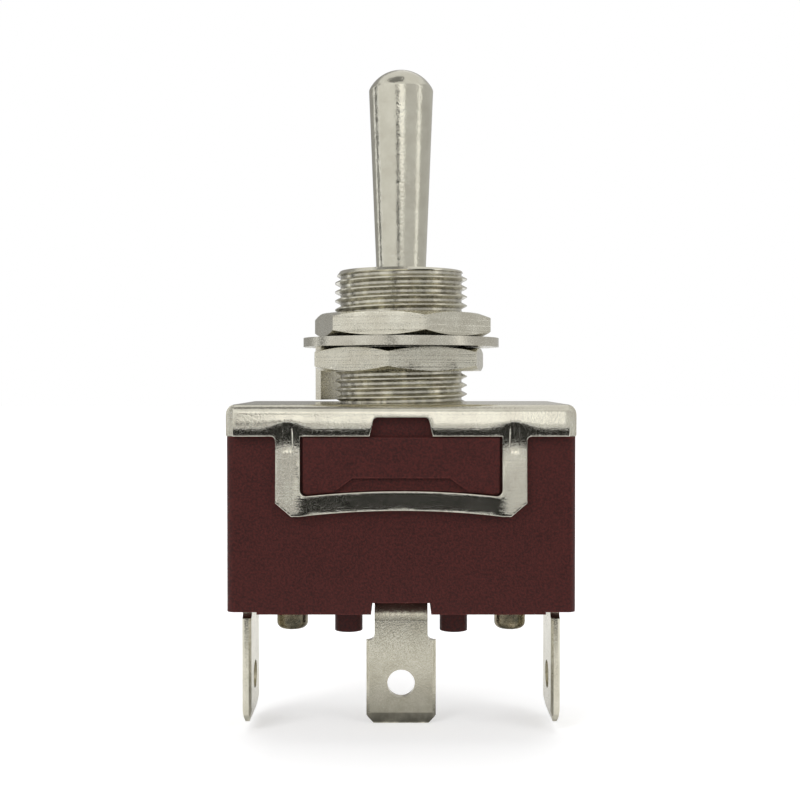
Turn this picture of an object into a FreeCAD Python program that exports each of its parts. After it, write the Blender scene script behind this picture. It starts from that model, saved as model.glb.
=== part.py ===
import FreeCAD, Part
import math
import os
import re
import Sketcher
from FreeCAD import Placement, Rotation, Vector

# Bat-handle toggle switch, on-off-on, with three flat tab terminals.
# +X is along the switch, +Y is its back and +Z points up the lever.
# The origin is on the bushing's axis, at the level of the tab tips.

# Driving dimensions, in millimetres and degrees
SIZES = {
    # Moulded housing
    "housing_base": 11.3,
    "housing_height": 17.1,
    "case_inset": 0.05,
    "housing_corner_radius": 0.7,
    "case_end_wall": 1.85,
    "case_side_wall": 1.58,
    "cavity_corner_radius": 1.0,
    "floor_thickness": 2.0,
    "end_step": 0.2,
    "end_step_length": 2.55,
    "boss_gap": 0.2,
    "boss_proud": 0.55,
    "boss_corner_radius": 0.4,
    "boss_edge_radius": 0.15,
    "boss_recess_top": 22.9,
    "boss_recess_top_length": 8.2,
    "boss_recess_bottom_length": 12.6,
    "boss_recess_depth": 0.3,
    "peg_spacing": 9.5,
    "peg_diameter": 2.5,
    "peg_length": 2.8,
    # Folded steel frame
    "sheet": 0.7,
    "bend_radius": 0.15,
    "frame_length": 29.7,
    "frame_width": 16.4,
    "flange_depth": 2.7,
    "corner_relief": 0.95,
    "flange_notch_length": 5.3,
    "flange_notch_top_length": 4.7,
    "flange_notch_height": 1.6,
    "flange_notch_radius": 0.35,
    "loop_inset": 4.25,
    "strap_width": 2.1,
    "loop_corner_radius": 0.5,
    "strap_corner_radius": 0.35,
    "loop_bottom": 19.65,
    "loop_chamfer_width": 1.35,
    "loop_chamfer_height": 1.15,
    "bar_height": 1.7,
    "bar_rise": 0.5,
    "bar_lean": 0.25,
    "rib_diameter": 1.1,
    "rib_depth": 0.34,
    "rib_bottom": 25.05,
    "rib_slope": 0.1,
    # Threaded bushing
    "thread_diameter": 11.9,
    "thread_depth": 0.26,
    "bushing_height": 11.8,
    "bushing_chamfer_width": 0.45,
    "bushing_chamfer_height": 0.6,
    "spigot_diameter": 10.4,
    "stake_diameter": 11.4,
    "stake_height": 0.5,
    "throat_diameter": 6.2,
    "mouth_diameter": 8.2,
    "keyway_width": 1.6,
    "keyway_depth": 0.6,
    # Nuts and locking washer
    "nut_across_flats": 14.29,
    "nut_thickness": 2.05,
    "nut_chamfer": 0.42,
    "nut_bore_chamfer": 0.35,
    "lower_nut_height": 2.85,
    "lower_nut_turn": 22.3,
    "upper_nut_turn": 44.6,
    "washer_overhang": 0.6,
    "washer_thickness": 0.8,
    "washer_tab_width": 3.8,
    "washer_tab_overhang": 0.35,
    "washer_tab_thickness": 0.7,
    "washer_tab_bend": 0.15,
    "washer_tab_turn": 138.0,
    "washer_key_width": 1.4,
    "washer_key_depth": 0.45,
    "stack_gap": 0.1,
    # Lever and its pivot
    "pivot_height": 4.3,
    "ball_diameter": 8.2,
    "lever_neck_diameter": 4.45,
    "lever_head_diameter": 5.77,
    "lever_length": 25.6,
    "lever_cap_height": 1.8,
    "stem_diameter": 5.4,
    "pin_diameter": 2.0,
    "pin_length": 9.2,
    # Plunger and its spring
    "plunger_diameter": 3.2,
    "plunger_shown": 4.3,
    "plunger_end_chamfer": 0.25,
    "spring_head_drop": 1.9,
    "spring_length": 4.0,
    "spring_diameter": 3.0,
    "spring_wire": 0.4,
    "spring_turns": 5.0,
    # Rocker and its cradle
    "rocker_axis_height": 4.3,
    "rocker_end": 0.2,
    "rocker_side_gap": 3.3,
    "rocker_thickness": 1.2,
    "saddle_length": 8.0,
    "saddle_foot_length": 8.6,
    "track_height": 2.6,
    "track_radius": 6.05,
    "trunnion_diameter": 1.9,
    "cradle_length": 4.4,
    "cradle_sheet": 0.65,
    "cradle_ear_top": 1.6,
    # Contacts
    "contact_diameter": 3.6,
    "contact_dome": 0.15,
    "fixed_contact_height": 0.6,
    "moving_contact_height": 1.34,
    # Rivets
    "rivet_head_diameter": 4.0,
    "rivet_head_height": 0.8,
    "rivet_diameter": 2.0,
    "rivet_roll_diameter": 2.8,
    "rivet_roll_length": 2.78,
    "rivet_roll_radius": 0.6,
    "rivet_hollow_diameter": 1.1,
    "rivet_hollow_depth": 1.2,
    "centre_rivet_head_diameter": 2.3,
    "centre_rivet_roll_diameter": 2.4,
    "centre_rivet_roll_length": 1.0,
    "centre_rivet_roll_radius": 0.3,
    "centre_rivet_inset": 1.25,
    # Tab terminals
    "tab_width": 6.3,
    "tab_thickness": 0.8,
    "tab_length": 7.6,
    "tab_shoulder": 0.5,
    "side_tip_height": 0.8,
    "side_neck_height": 0.65,
    "tab_tip_cut_width": 0.66,
    "tab_tip_cut_height": 0.75,
    "tab_edge_bevel": 0.3,
    "tab_tip_bevel": 1.0,
    "tab_bevel_depth": 0.22,
    "tab_hole_diameter": 2.5,
    "tab_hole_height": 3.65,
    "neck_width": 4.8,
    "side_tab_inset": 1.15,
    "side_leg_length": 3.8,
    "side_bend_radius": 0.2,
    "centre_bend_radius": 2.1,
    "leg_end_margin": 1.5,
    "channel_depth": 0.98,
    # Insulating sheet
    "insulator_end_ledge": 0.5,
    "insulator_side_ledge": 0.7,
    "insulator_thickness": 0.5,
    # Clearances
    "seat_clearance": 0.03,
    "fit_clearance": 0.02,
    "ball_clearance": 0.15,
    "running_clearance": 0.05,
    "track_clearance": 0.15,
    "swing_clearance": 0.15,
    "channel_clearance": 0.15,
    "loop_clearance": 0.05,
}

# Places and sizes that follow from the driving dimensions
PLACES = {
    "housing_top": "housing_base + housing_height",
    "plate_top": "housing_top + sheet",
    "flange_bottom": "plate_top - flange_depth",
    "flange_inner_x": "frame_length / 2 - sheet",
    "flange_inner_y": "frame_width / 2 - sheet",
    "housing_length": "frame_length - 2 * case_inset",
    "housing_half_y": "flange_inner_y - fit_clearance",
    "cavity_length": "housing_length - 2 * case_end_wall",
    "cavity_width": "2 * (housing_half_y - case_side_wall)",
    "centre_rivet_distance": "cavity_width / 2 - centre_rivet_inset",
    "insulator_length": "cavity_length + 2 * insulator_end_ledge",
    "insulator_width": "cavity_width + 2 * insulator_side_ledge",
    "side_tab_spacing": "housing_length - 2 * side_tab_inset",
    "contact_spacing": "side_tab_spacing - 2 * side_leg_length",
    "rocker_width": "cavity_width - 2 * rocker_side_gap",
    "rocker_length": "contact_spacing + contact_diameter + 2 * rocker_end",
    "housing_neck_half_x": "flange_inner_x - seat_clearance",
    "cavity_floor": "housing_base + floor_thickness",
    "channel_top": "housing_base + channel_depth",
    "leg_top": "channel_top - seat_clearance",
    "leg_bottom": "leg_top - tab_thickness",
    "side_tab_top": "leg_bottom - side_bend_radius - side_neck_height - tab_shoulder",
    "shoulder_width": "(tab_width - neck_width) / 2",
    "shoulder_radius": "(shoulder_width ^ 2 + tab_shoulder ^ 2) / (2 * shoulder_width)",
    "loop_length": "frame_length - 2 * loop_inset",
    "window_half": "loop_length / 2 - strap_width",
    "web_half": "window_half - loop_corner_radius",
    "boss_length": "2 * (window_half - boss_gap)",
    "bow_radius": "window_half ^ 2 / (2 * bar_rise)",
    "bow_centre": "loop_bottom - bow_radius",
    "bar_low_radius": "bow_radius + bar_rise",
    "bar_high_radius": "bar_low_radius + bar_height",
    "bar_end_top": "bow_centre + sqrt(bar_high_radius ^ 2 - window_half ^ 2)",
    "boss_arc": "bar_high_radius + loop_clearance",
    "boss_bottom": "bow_centre + sqrt(boss_arc ^ 2 - (boss_length / 2) ^ 2)",
    "thread_radius": "thread_diameter / 2",
    "bushing_top": "plate_top + bushing_height",
    "stake_bottom": "housing_top - stake_height",
    "pivot": "plate_top + pivot_height",
    "ball_radius": "ball_diameter / 2",
    "seat_radius": "ball_radius + ball_clearance",
    "keyway_floor": "thread_radius - keyway_depth",
    "nut_corner": "nut_across_flats / sqrt(3)",
    "washer_bore": "thread_radius + running_clearance",
    "pitch_radius": "thread_radius - thread_depth",
    "nut_bore": "pitch_radius + running_clearance",
    "washer_diameter": "frame_width + 2 * washer_overhang",
    "washer_tab_reach": "washer_diameter / 2 + washer_tab_overhang",
    "lower_nut_base": "plate_top + lower_nut_height",
    "washer_base": "lower_nut_base + nut_thickness + stack_gap",
    "upper_nut_base": "washer_base + washer_thickness + stack_gap",
    "lever_tip": "pivot + lever_length",
    "rocker_axis": "cavity_floor + rocker_axis_height",
    "plunger_bore": "plunger_diameter / 2 + running_clearance",
    "plunger_tip": "rocker_axis + track_height",
    "stem_bottom": "plunger_tip + plunger_shown",
    "spring_top": "pivot - spring_head_drop",
    "plunger_top": "spring_top - spring_length",
    "track_centre": "plunger_tip - track_clearance + track_radius",
    "rocker_bottom": "rocker_axis - rocker_thickness / 2",
    "rocker_top": "rocker_axis + rocker_thickness / 2",
    "ear_inner": "rocker_width / 2 + swing_clearance",
    "ear_outer": "ear_inner + cradle_sheet",
    "rivet_radius": "rivet_diameter / 2",
    "fixed_contact_base": "cavity_floor + rivet_head_height",
}

WORD = re.compile(r"\b[a-z][a-z_]+\b")
EXPRESSION_WORDS = {"sqrt", "cos", "sin", "asin", "deg"}


def tied(text):
    """Turn a formula in plain names into an expression on the two sheets."""

    def sheet_name(found):
        word = found.group(0)
        if word in EXPRESSION_WORDS:
            return word
        return ("Sizes." if word in SIZES else "Places.") + word

    return WORD.sub(sheet_name, text)


def fill_sheet(document, name, cells, as_formula):
    """Write one row for each named value: its name, and its value under that alias."""
    sheet = document.addObject("Spreadsheet::Sheet", name)
    for row, (alias, value) in enumerate(cells.items(), start=1):
        sheet.set(f"A{row}", alias)
        sheet.set(f"B{row}", as_formula(value))
        sheet.setAlias(f"B{row}", alias)
    document.recompute()
    return sheet


def value_of(thing, text):
    """Work a formula out as a plain number."""
    return float(thing.evalExpression(tied(text)))


# Sketches

def new_sketch(body, name, role, offset=None, turn=0.0):
    """Put a sketch on one of the body's own origin planes, shifted along its normal."""
    sketch = body.newObject("Sketcher::SketchObject", name)
    plane = [item for item in body.Origin.OriginFeatures if item.Role == role][0]
    sketch.AttachmentSupport = (plane, [""])
    sketch.MapMode = "FlatFace"
    if turn:
        sketch.AttachmentOffset = Placement(Vector(), Rotation(Vector(0, 0, 1), turn))
    if offset is not None:
        sketch.setExpression("AttachmentOffset.Base.z", tied(offset))
    return sketch


def hold(sketch, kind, geometry, point, text):
    """Tie one coordinate of a sketch point to its formula, or to the axis where it is 0."""
    if text == "0":
        axis = -2 if kind == "DistanceX" else -1
        sketch.addConstraint(Sketcher.Constraint("PointOnObject", geometry, point, axis))
        return
    start = value_of(sketch, text)
    constraint = Sketcher.Constraint(kind, -1, 1, geometry, point, start)
    bind_constraint(sketch, constraint, text)


def bind_constraint(sketch, constraint, text):
    """Add a named dimension and tie its value to a formula."""
    index = sketch.addConstraint(constraint)
    label = f"size{index}"
    sketch.renameConstraint(index, label)
    sketch.setExpression(f"Constraints.{label}", tied(text))


def arc_through(start, end, centre):
    """Arc from start to end about a centre, the short way round."""
    first = math.atan2(start[1] - centre[1], start[0] - centre[0])
    sweep = math.atan2(end[1] - centre[1], end[0] - centre[0]) - first
    sweep = (sweep + math.pi) % (2 * math.pi) - math.pi
    radius = math.dist(start, centre)
    middle = (centre[0] + radius * math.cos(first + sweep / 2),
              centre[1] + radius * math.sin(first + sweep / 2))
    return Part.Arc(*(Vector(x, y, 0) for x, y in (start, middle, end)))


def draw_outline(sketch, corners):
    """Draw a closed outline.

    Each corner is (x, y), or (x, y, arc) where the edge that leaves it is an arc. An arc is
    (centre x, centre y, held), and held says what ties it besides its two ends: the formula
    of its radius, or "axis" where its centre lies on the upright axis.
    """
    first = sketch.GeometryCount
    places = [(value_of(sketch, corner[0]), value_of(sketch, corner[1])) for corner in corners]
    count = len(corners)
    for index, corner in enumerate(corners):
        start, end = places[index], places[(index + 1) % count]
        if len(corner) == 2:
            edge = Part.LineSegment(Vector(*start, 0), Vector(*end, 0))
        else:
            centre = (value_of(sketch, corner[2][0]), value_of(sketch, corner[2][1]))
            edge = arc_through(start, end, centre)
        sketch.addGeometry(edge, False)
    ends = [edge_ends(sketch, first + index, places[index]) for index in range(count)]
    for index in range(count):
        following = (index + 1) % count
        sketch.addConstraint(Sketcher.Constraint(
            "Coincident", first + index, ends[index][1], first + following, ends[following][0]))
    for index, corner in enumerate(corners):
        hold(sketch, "DistanceX", first + index, ends[index][0], corner[0])
        hold(sketch, "DistanceY", first + index, ends[index][0], corner[1])
        if len(corner) == 3:
            hold_arc(sketch, first + index, corner[2][2], corner[2])


def edge_ends(sketch, geometry, start):
    """Say which of an edge's two ends lies at its first corner: (start end, far end)."""
    near = sketch.getPoint(geometry, 1)
    if math.dist((near.x, near.y), start) < 1e-6:
        return 1, 2
    return 2, 1


def hold_arc(sketch, geometry, held, arc):
    """Tie an arc by its radius, or by its centre on the upright axis."""
    if held == "axis":
        sketch.addConstraint(Sketcher.Constraint("PointOnObject", geometry, 3, -2))
    else:
        radius = value_of(sketch, held)
        bind_constraint(sketch, Sketcher.Constraint("Radius", geometry, radius), held)


def draw_circle(sketch, x, y, radius):
    """Draw a circle tied by its centre and radius."""
    centre = Vector(value_of(sketch, x), value_of(sketch, y), 0)
    circle = Part.Circle(centre, Vector(0, 0, 1), value_of(sketch, radius))
    geometry = sketch.addGeometry(circle, False)
    hold(sketch, "DistanceX", geometry, 3, x)
    hold(sketch, "DistanceY", geometry, 3, y)
    constraint = Sketcher.Constraint("Radius", geometry, value_of(sketch, radius))
    bind_constraint(sketch, constraint, radius)


def draw_block(sketch, low_x, high_x, low_y, high_y):
    """Draw a rectangle between two formulas each way."""
    draw_outline(sketch, [(low_x, low_y), (high_x, low_y), (high_x, high_y), (low_x, high_y)])


# Features

def new_body(document, name):
    """Start a piece of the switch under its own name."""
    body = document.addObject("PartDesign::Body", name)
    body.Label = name
    return body


def extrude(body, kind, sketch, length=None, both_ways=False, reverse=False):
    """Pad or pocket a sketch by a formula, or cut right through where no length is given."""
    feature = body.newObject(f"PartDesign::{kind}", f"{sketch.Name}_{kind.lower()}")
    feature.Profile = sketch
    feature.Midplane = both_ways
    feature.Reversed = reverse
    if length is None:
        feature.Type = "ThroughAll"
    else:
        feature.setExpression("Length", tied(length))
    sketch.Visibility = False
    body.Document.recompute()
    return feature


def turn_profile(body, kind, sketch):
    """Revolve or groove a sketch about its upright axis."""
    feature = body.newObject(f"PartDesign::{kind}", f"{sketch.Name}_{kind.lower()}")
    feature.Profile = sketch
    feature.ReferenceAxis = (sketch, ["V_Axis"])
    feature.Angle = 360.0
    sketch.Visibility = False
    body.Document.recompute()
    return feature


def dress_edges(body, kind, name, size, wanted):
    """Fillet or chamfer each edge of the body that the test picks out."""
    body.Document.recompute()
    base = body.Tip
    edges = [f"Edge{index}" for index, edge in enumerate(base.Shape.Edges, start=1) if wanted(edge)]
    if not edges:
        raise ValueError(f"{name} finds no edge")
    feature = body.newObject(f"PartDesign::{kind}", name)
    feature.Base = (base, edges)
    feature.setExpression("Radius" if kind == "Fillet" else "Size", tied(size))
    body.Document.recompute()
    return feature


def round_edges(body, name, radius, wanted):
    """Round each edge of the body that the test picks out."""
    return dress_edges(body, "Fillet", name, radius, wanted)


def bevel_edges(body, name, width, wanted):
    """Bevel each edge of the body that the test picks out."""
    return dress_edges(body, "Chamfer", name, width, wanted)


def is_upright(edge):
    """Say whether an edge is a straight line along Z."""
    if not isinstance(edge.Curve, Part.Line):
        return False
    return abs(edge.tangentAt(edge.FirstParameter).z) > 0.999


def middle_of(edge):
    """Give the middle point of an edge's box."""
    return edge.BoundBox.Center


def lift(body, height):
    """Raise a body by a formula."""
    body.setExpression("Placement.Base.z", tied(height))


# Housing and frame

def make_housing(document):
    """Moulded phenolic case, open on top, with bosses, terminal channels and pegs."""
    body = new_body(document, "housing")
    block = new_sketch(body, "case_outline", "XY_Plane", "housing_base")
    draw_block(block, "-housing_length / 2", "housing_length / 2", "-housing_half_y", "housing_half_y")
    extrude(body, "Pad", block, "flange_bottom - seat_clearance - housing_base")
    round_edges(body, "case_corners", "housing_corner_radius", is_upright)
    neck = new_sketch(body, "neck_outline", "XY_Plane", "flange_bottom - housing_corner_radius")
    draw_block(neck, "-housing_neck_half_x", "housing_neck_half_x", "-housing_half_y", "housing_half_y")
    extrude(body, "Pad", neck, "housing_top - flange_bottom + housing_corner_radius")
    top = value_of(body, "housing_top")
    bevel_edges(body, "mouth_bevel", "bend_radius", lambda edge: edge.BoundBox.ZMin > top - 1e-6)
    add_bosses(body)
    cut_cavity(body)
    cut_underside(body)
    add_pegs(body)
    return body


def add_bosses(body):
    """Raised pads that fill the frame's loops, front and back, each with a sloped recess."""
    reach = "housing_half_y + boss_proud"
    top = "flange_bottom - seat_clearance"
    outline = new_sketch(body, "boss_outline", "XZ_Plane")
    draw_outline(outline, [
        ("-boss_length / 2", "boss_bottom", ("0", "bow_centre", "boss_arc")),
        ("boss_length / 2", "boss_bottom"),
        ("boss_length / 2", top),
        ("-boss_length / 2", top)])
    extrude(body, "Pad", outline, f"2 * ({reach})", both_ways=True)
    face = value_of(body, reach)
    low = value_of(body, "boss_bottom")
    half = value_of(body, "boss_length / 2")

    def on_lower_corner(edge):
        place = middle_of(edge)
        along = edge.BoundBox.YLength > edge.BoundBox.ZLength
        return along and abs(place.z - low) < 1e-6 and abs(abs(place.x) - half) < 1e-6

    round_edges(body, "boss_corners", "boss_corner_radius", on_lower_corner)

    def on_boss_rim(edge):
        box = edge.BoundBox
        return box.YLength < 1e-6 and abs(abs(box.YMin) - face) < 1e-6

    round_edges(body, "boss_rims", "boss_edge_radius", on_boss_rim)
    for side, place in (("front", "boss_recess_depth - housing_half_y - boss_proud"),
                        ("back", "housing_half_y + boss_proud - boss_recess_depth")):
        recess = new_sketch(body, f"{side}_recess", "XZ_Plane", f"-({place})")
        draw_outline(recess, [
            ("-boss_recess_bottom_length / 2", "boss_bottom - boss_edge_radius"),
            ("boss_recess_bottom_length / 2", "boss_bottom - boss_edge_radius"),
            ("boss_recess_top_length / 2", "boss_recess_top"),
            ("-boss_recess_top_length / 2", "boss_recess_top")])
        extrude(body, "Pocket", recess, "boss_recess_depth * 2", reverse=side == "front")


def cut_cavity(body):
    """Hollow that holds the rocker, with a ledge round its mouth for the insulating sheet."""
    ledge = new_sketch(body, "ledge_outline", "XY_Plane", "housing_top")
    draw_block(ledge,
               "-insulator_length / 2 - channel_clearance", "insulator_length / 2 + channel_clearance",
               "-insulator_width / 2 - channel_clearance", "insulator_width / 2 + channel_clearance")
    extrude(body, "Pocket", ledge, "insulator_thickness")
    cavity = new_sketch(body, "cavity_outline", "XY_Plane", "housing_top")
    draw_block(cavity, "-cavity_length / 2", "cavity_length / 2", "-cavity_width / 2", "cavity_width / 2")
    extrude(body, "Pocket", cavity, "housing_top - cavity_floor")
    half_x = value_of(body, "cavity_length / 2")
    half_y = value_of(body, "cavity_width / 2")

    def in_cavity_corner(edge):
        place = middle_of(edge)
        near_x = abs(abs(place.x) - half_x) < 1e-6
        return is_upright(edge) and near_x and abs(abs(place.y) - half_y) < 1e-6

    round_edges(body, "cavity_corners", "cavity_corner_radius", in_cavity_corner)


def cut_underside(body):
    """Stepped ends, channels for the three terminal legs, and the rivet holes."""
    step = new_sketch(body, "end_steps", "XZ_Plane")
    for low, high in (("-housing_length / 2 - 1", "end_step_length - housing_length / 2"),
                      ("housing_length / 2 - end_step_length", "housing_length / 2 + 1")):
        draw_block(step, low, high, "housing_base - 1", "housing_base + end_step")
    extrude(body, "Pocket", step, both_ways=True)
    half_channel = "neck_width / 2 + channel_clearance"
    centre = new_sketch(body, "centre_channel", "XZ_Plane")
    draw_block(centre, f"-({half_channel})", half_channel, "housing_base - 1", "channel_top")
    extrude(body, "Pocket", centre, both_ways=True)
    side = new_sketch(body, "side_channels", "XY_Plane", "channel_top")
    inner = "contact_spacing / 2 - leg_end_margin - channel_clearance"
    outer = "side_tab_spacing / 2 + tab_thickness / 2 + channel_clearance"
    for low, high in ((f"-({outer})", f"-({inner})"), (inner, outer)):
        draw_block(side, low, high, f"-({half_channel})", half_channel)
    extrude(body, "Pocket", side, "channel_depth + 1")
    holes = new_sketch(body, "rivet_holes", "XY_Plane", "cavity_floor")
    draw_circle(holes, "-contact_spacing / 2", "0", "rivet_radius + fit_clearance")
    draw_circle(holes, "contact_spacing / 2", "0", "rivet_radius + fit_clearance")
    draw_circle(holes, "0", "centre_rivet_distance", "rivet_radius + fit_clearance")
    extrude(body, "Pocket", holes, "floor_thickness + 1")


def add_pegs(body):
    """Two moulded pegs under the case."""
    pegs = new_sketch(body, "pegs", "XY_Plane", "housing_base - peg_length")
    for x in ("-peg_spacing / 2", "peg_spacing / 2"):
        draw_circle(pegs, x, "0", "peg_diameter / 2")
    extrude(body, "Pad", pegs, "peg_length + channel_depth / 2")


def folded_section(half, low):
    """Outline of a plate with both edges folded down, in formulas of one plane."""
    outer = "bend_radius + sheet"
    turn = f"{half} - bend_radius - sheet"
    inner = f"{half} - sheet"
    level = "housing_top - bend_radius"
    return [
        (f"-({half})", low),
        (f"-({inner})", low),
        (f"-({inner})", level, (f"-({turn})", level, "bend_radius")),
        (f"-({turn})", "housing_top"),
        (turn, "housing_top", (turn, level, "bend_radius")),
        (inner, level),
        (inner, low),
        (half, low),
        (half, level, (turn, level, outer)),
        (turn, "plate_top"),
        (f"-({turn})", "plate_top", (f"-({turn})", level, outer)),
        (f"-({half})", level)]


def make_frame(document):
    """Steel frame folded from one sheet: plate, four flanges and a loop front and back."""
    body = new_body(document, "frame")
    ends = new_sketch(body, "end_section", "XZ_Plane")
    draw_outline(ends, folded_section("frame_length / 2", "flange_bottom"))
    extrude(body, "Pad", ends, "frame_width - 2 * corner_relief", both_ways=True)
    sides = new_sketch(body, "side_section", "YZ_Plane")
    draw_outline(sides, folded_section("frame_width / 2", "flange_bottom"))
    extrude(body, "Pad", sides, "2 * flange_inner_x", both_ways=True)
    add_loops(body)
    cut_flange_notches(body)
    cut_ribs(body)
    hole = new_sketch(body, "bushing_hole", "XY_Plane", "plate_top")
    draw_circle(hole, "0", "0", "spigot_diameter / 2 + fit_clearance")
    extrude(body, "Pocket", hole, "2 * sheet")
    return body


def add_loops(body):
    """Straps below the front and back flanges, joined by a bowed bar that leans out at its top."""
    for side, start in (("front", "frame_width / 2 - sheet"), ("back", "-frame_width / 2")):
        straps = new_sketch(body, f"{side}_straps", "XZ_Plane", start)
        for sign in ("-", ""):
            edge = f"{sign}(loop_length / 2)"
            flare = f"{sign}(loop_length / 2 + strap_corner_radius)"
            inner = f"{sign}window_half"
            web = f"{sign}web_half"
            cut = f"{sign}(loop_length / 2 - loop_chamfer_width)"
            draw_outline(straps, [
                (flare, "housing_top - bend_radius"),
                (flare, "flange_bottom",
                 (flare, "flange_bottom - strap_corner_radius", "strap_corner_radius")),
                (edge, "flange_bottom - strap_corner_radius"),
                (edge, "loop_bottom + loop_chamfer_height"),
                (cut, "loop_bottom"),
                (inner, "loop_bottom"),
                (inner, "bar_end_top - bar_height / 2"),
                (web, "bar_end_top - bar_height / 2"),
                (web, "bar_end_top", (web, "bar_end_top + loop_corner_radius", "loop_corner_radius")),
                (inner, "bar_end_top + loop_corner_radius"),
                (inner, "housing_top - bend_radius")])
        extrude(body, "Pad", straps, "sheet")
    section = new_sketch(body, "bar_section", "YZ_Plane")
    low = "bow_centre + bar_low_radius"
    high = "bow_centre + bar_high_radius"
    for sign in ("-", ""):
        draw_outline(section, [
            (f"{sign}flange_inner_y", low),
            (f"{sign}(frame_width / 2)", low),
            (f"{sign}(frame_width / 2 + bar_lean)", high),
            (f"{sign}(flange_inner_y + bar_lean)", high)])
    level = value_of(section, "bow_centre")
    axis = section.addGeometry(Part.LineSegment(Vector(-1, level, 0), Vector(1, level, 0)), True)
    section.addConstraint(Sketcher.Constraint("Horizontal", axis))
    hold(section, "DistanceX", axis, 1, "-sheet")
    hold(section, "DistanceX", axis, 2, "sheet")
    hold(section, "DistanceY", axis, 1, "bow_centre")
    bar = body.newObject("PartDesign::Revolution", "bars")
    bar.Profile = section
    bar.ReferenceAxis = (section, ["Axis0"])
    bar.Midplane = True
    bar.setExpression("Angle", tied("2 * asin((window_half + sheet / 2) / bow_radius)"))
    body.Document.recompute()


def cut_flange_notches(body):
    """Notch in the middle of the front and back flanges' lower edges."""
    notch = new_sketch(body, "flange_notch", "XZ_Plane")
    low = "flange_bottom - 1"
    high = "flange_bottom + flange_notch_height"
    draw_outline(notch, [
        ("-flange_notch_length / 2", low),
        ("flange_notch_length / 2", low),
        ("flange_notch_top_length / 2", high),
        ("-flange_notch_top_length / 2", high)])
    extrude(body, "Pocket", notch, both_ways=True)
    top = value_of(body, high)

    def in_notch_corner(edge):
        box = edge.BoundBox
        return box.YLength > 0.1 and abs(box.ZMin - top) < 1e-6 and box.XLength < 1e-6

    round_edges(body, "notch_corners", "flange_notch_radius", in_notch_corner)


def cut_ribs(body):
    """Stiffening grooves pressed above each strap, which fade out below the bend."""
    x = value_of(body, "loop_length / 2 - strap_width / 2")
    radius = value_of(body, "rib_diameter / 2")
    face = value_of(body, "frame_width / 2")
    depth = value_of(body, "rib_depth")
    low = value_of(body, "rib_bottom")
    slope = value_of(body, "rib_slope")
    for index, (side_x, side_y) in enumerate(((-1, -1), (1, -1), (-1, 1), (1, 1)), start=1):
        groove = body.newObject("PartDesign::SubtractiveCylinder", f"rib{index}")
        groove.setExpression("Radius", tied("rib_diameter / 2"))
        groove.setExpression("Height", tied("plate_top + sheet - rib_bottom"))
        distance = face + radius - depth
        foot = Vector(side_x * x, side_y * distance, low)
        lean = Rotation(Vector(0, 0, 1), Vector(0, side_y * slope, 1))
        groove.Placement = Placement(foot, lean)
    body.Document.recompute()


# Bushing, nuts and washer

def make_bushing(document):
    """Bushing staked into the plate, with a round seat for the lever's ball and two pin grooves.

    Its fine thread is plain: full size where it is free, and down to the pitch line under the
    nuts, whose bores meet it there.
    """
    body = new_body(document, "bushing")
    throat_z = "pivot + sqrt(seat_radius ^ 2 - (throat_diameter / 2) ^ 2)"
    section = new_sketch(body, "bushing_section", "XZ_Plane")
    draw_outline(section, [
        ("seat_radius", "stake_bottom"),
        ("stake_diameter / 2", "stake_bottom"),
        ("stake_diameter / 2", "housing_top"),
        ("spigot_diameter / 2", "housing_top"),
        ("spigot_diameter / 2", "plate_top"),
        ("thread_radius", "plate_top"),
        ("thread_radius", "bushing_top - bushing_chamfer_height"),
        ("thread_radius - bushing_chamfer_width", "bushing_top"),
        ("mouth_diameter / 2", "bushing_top"),
        ("throat_diameter / 2", throat_z, ("0", "pivot", "axis")),
        ("seat_radius", "pivot")])
    turn_profile(body, "Revolution", section)
    engaged = new_sketch(body, "engaged_thread", "XZ_Plane")
    for base in ("lower_nut_base", "upper_nut_base"):
        draw_block(engaged, "pitch_radius", "thread_diameter",
                   f"{base} - stack_gap", f"{base} + nut_thickness + stack_gap")
    turn_profile(body, "Groove", engaged)
    pin_groove = new_sketch(body, "pin_groove", "XZ_Plane")
    half_groove = "pin_diameter / 2 + running_clearance"
    draw_block(pin_groove, f"-({half_groove})", half_groove, "stake_bottom - 1", "pivot")
    extrude(body, "Pocket", pin_groove, "pin_length + 2 * running_clearance", both_ways=True)
    groove_end = new_sketch(body, "groove_end", "XZ_Plane")
    draw_circle(groove_end, "0", "pivot", half_groove)
    extrude(body, "Pocket", groove_end, "pin_length + 2 * running_clearance", both_ways=True)
    keyway = new_sketch(body, "keyway", "XY_Plane", "bushing_top")
    draw_block(keyway, "-keyway_width / 2", "keyway_width / 2", "keyway_floor", "thread_diameter")
    extrude(body, "Pocket", keyway, "bushing_height")
    return body


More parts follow.
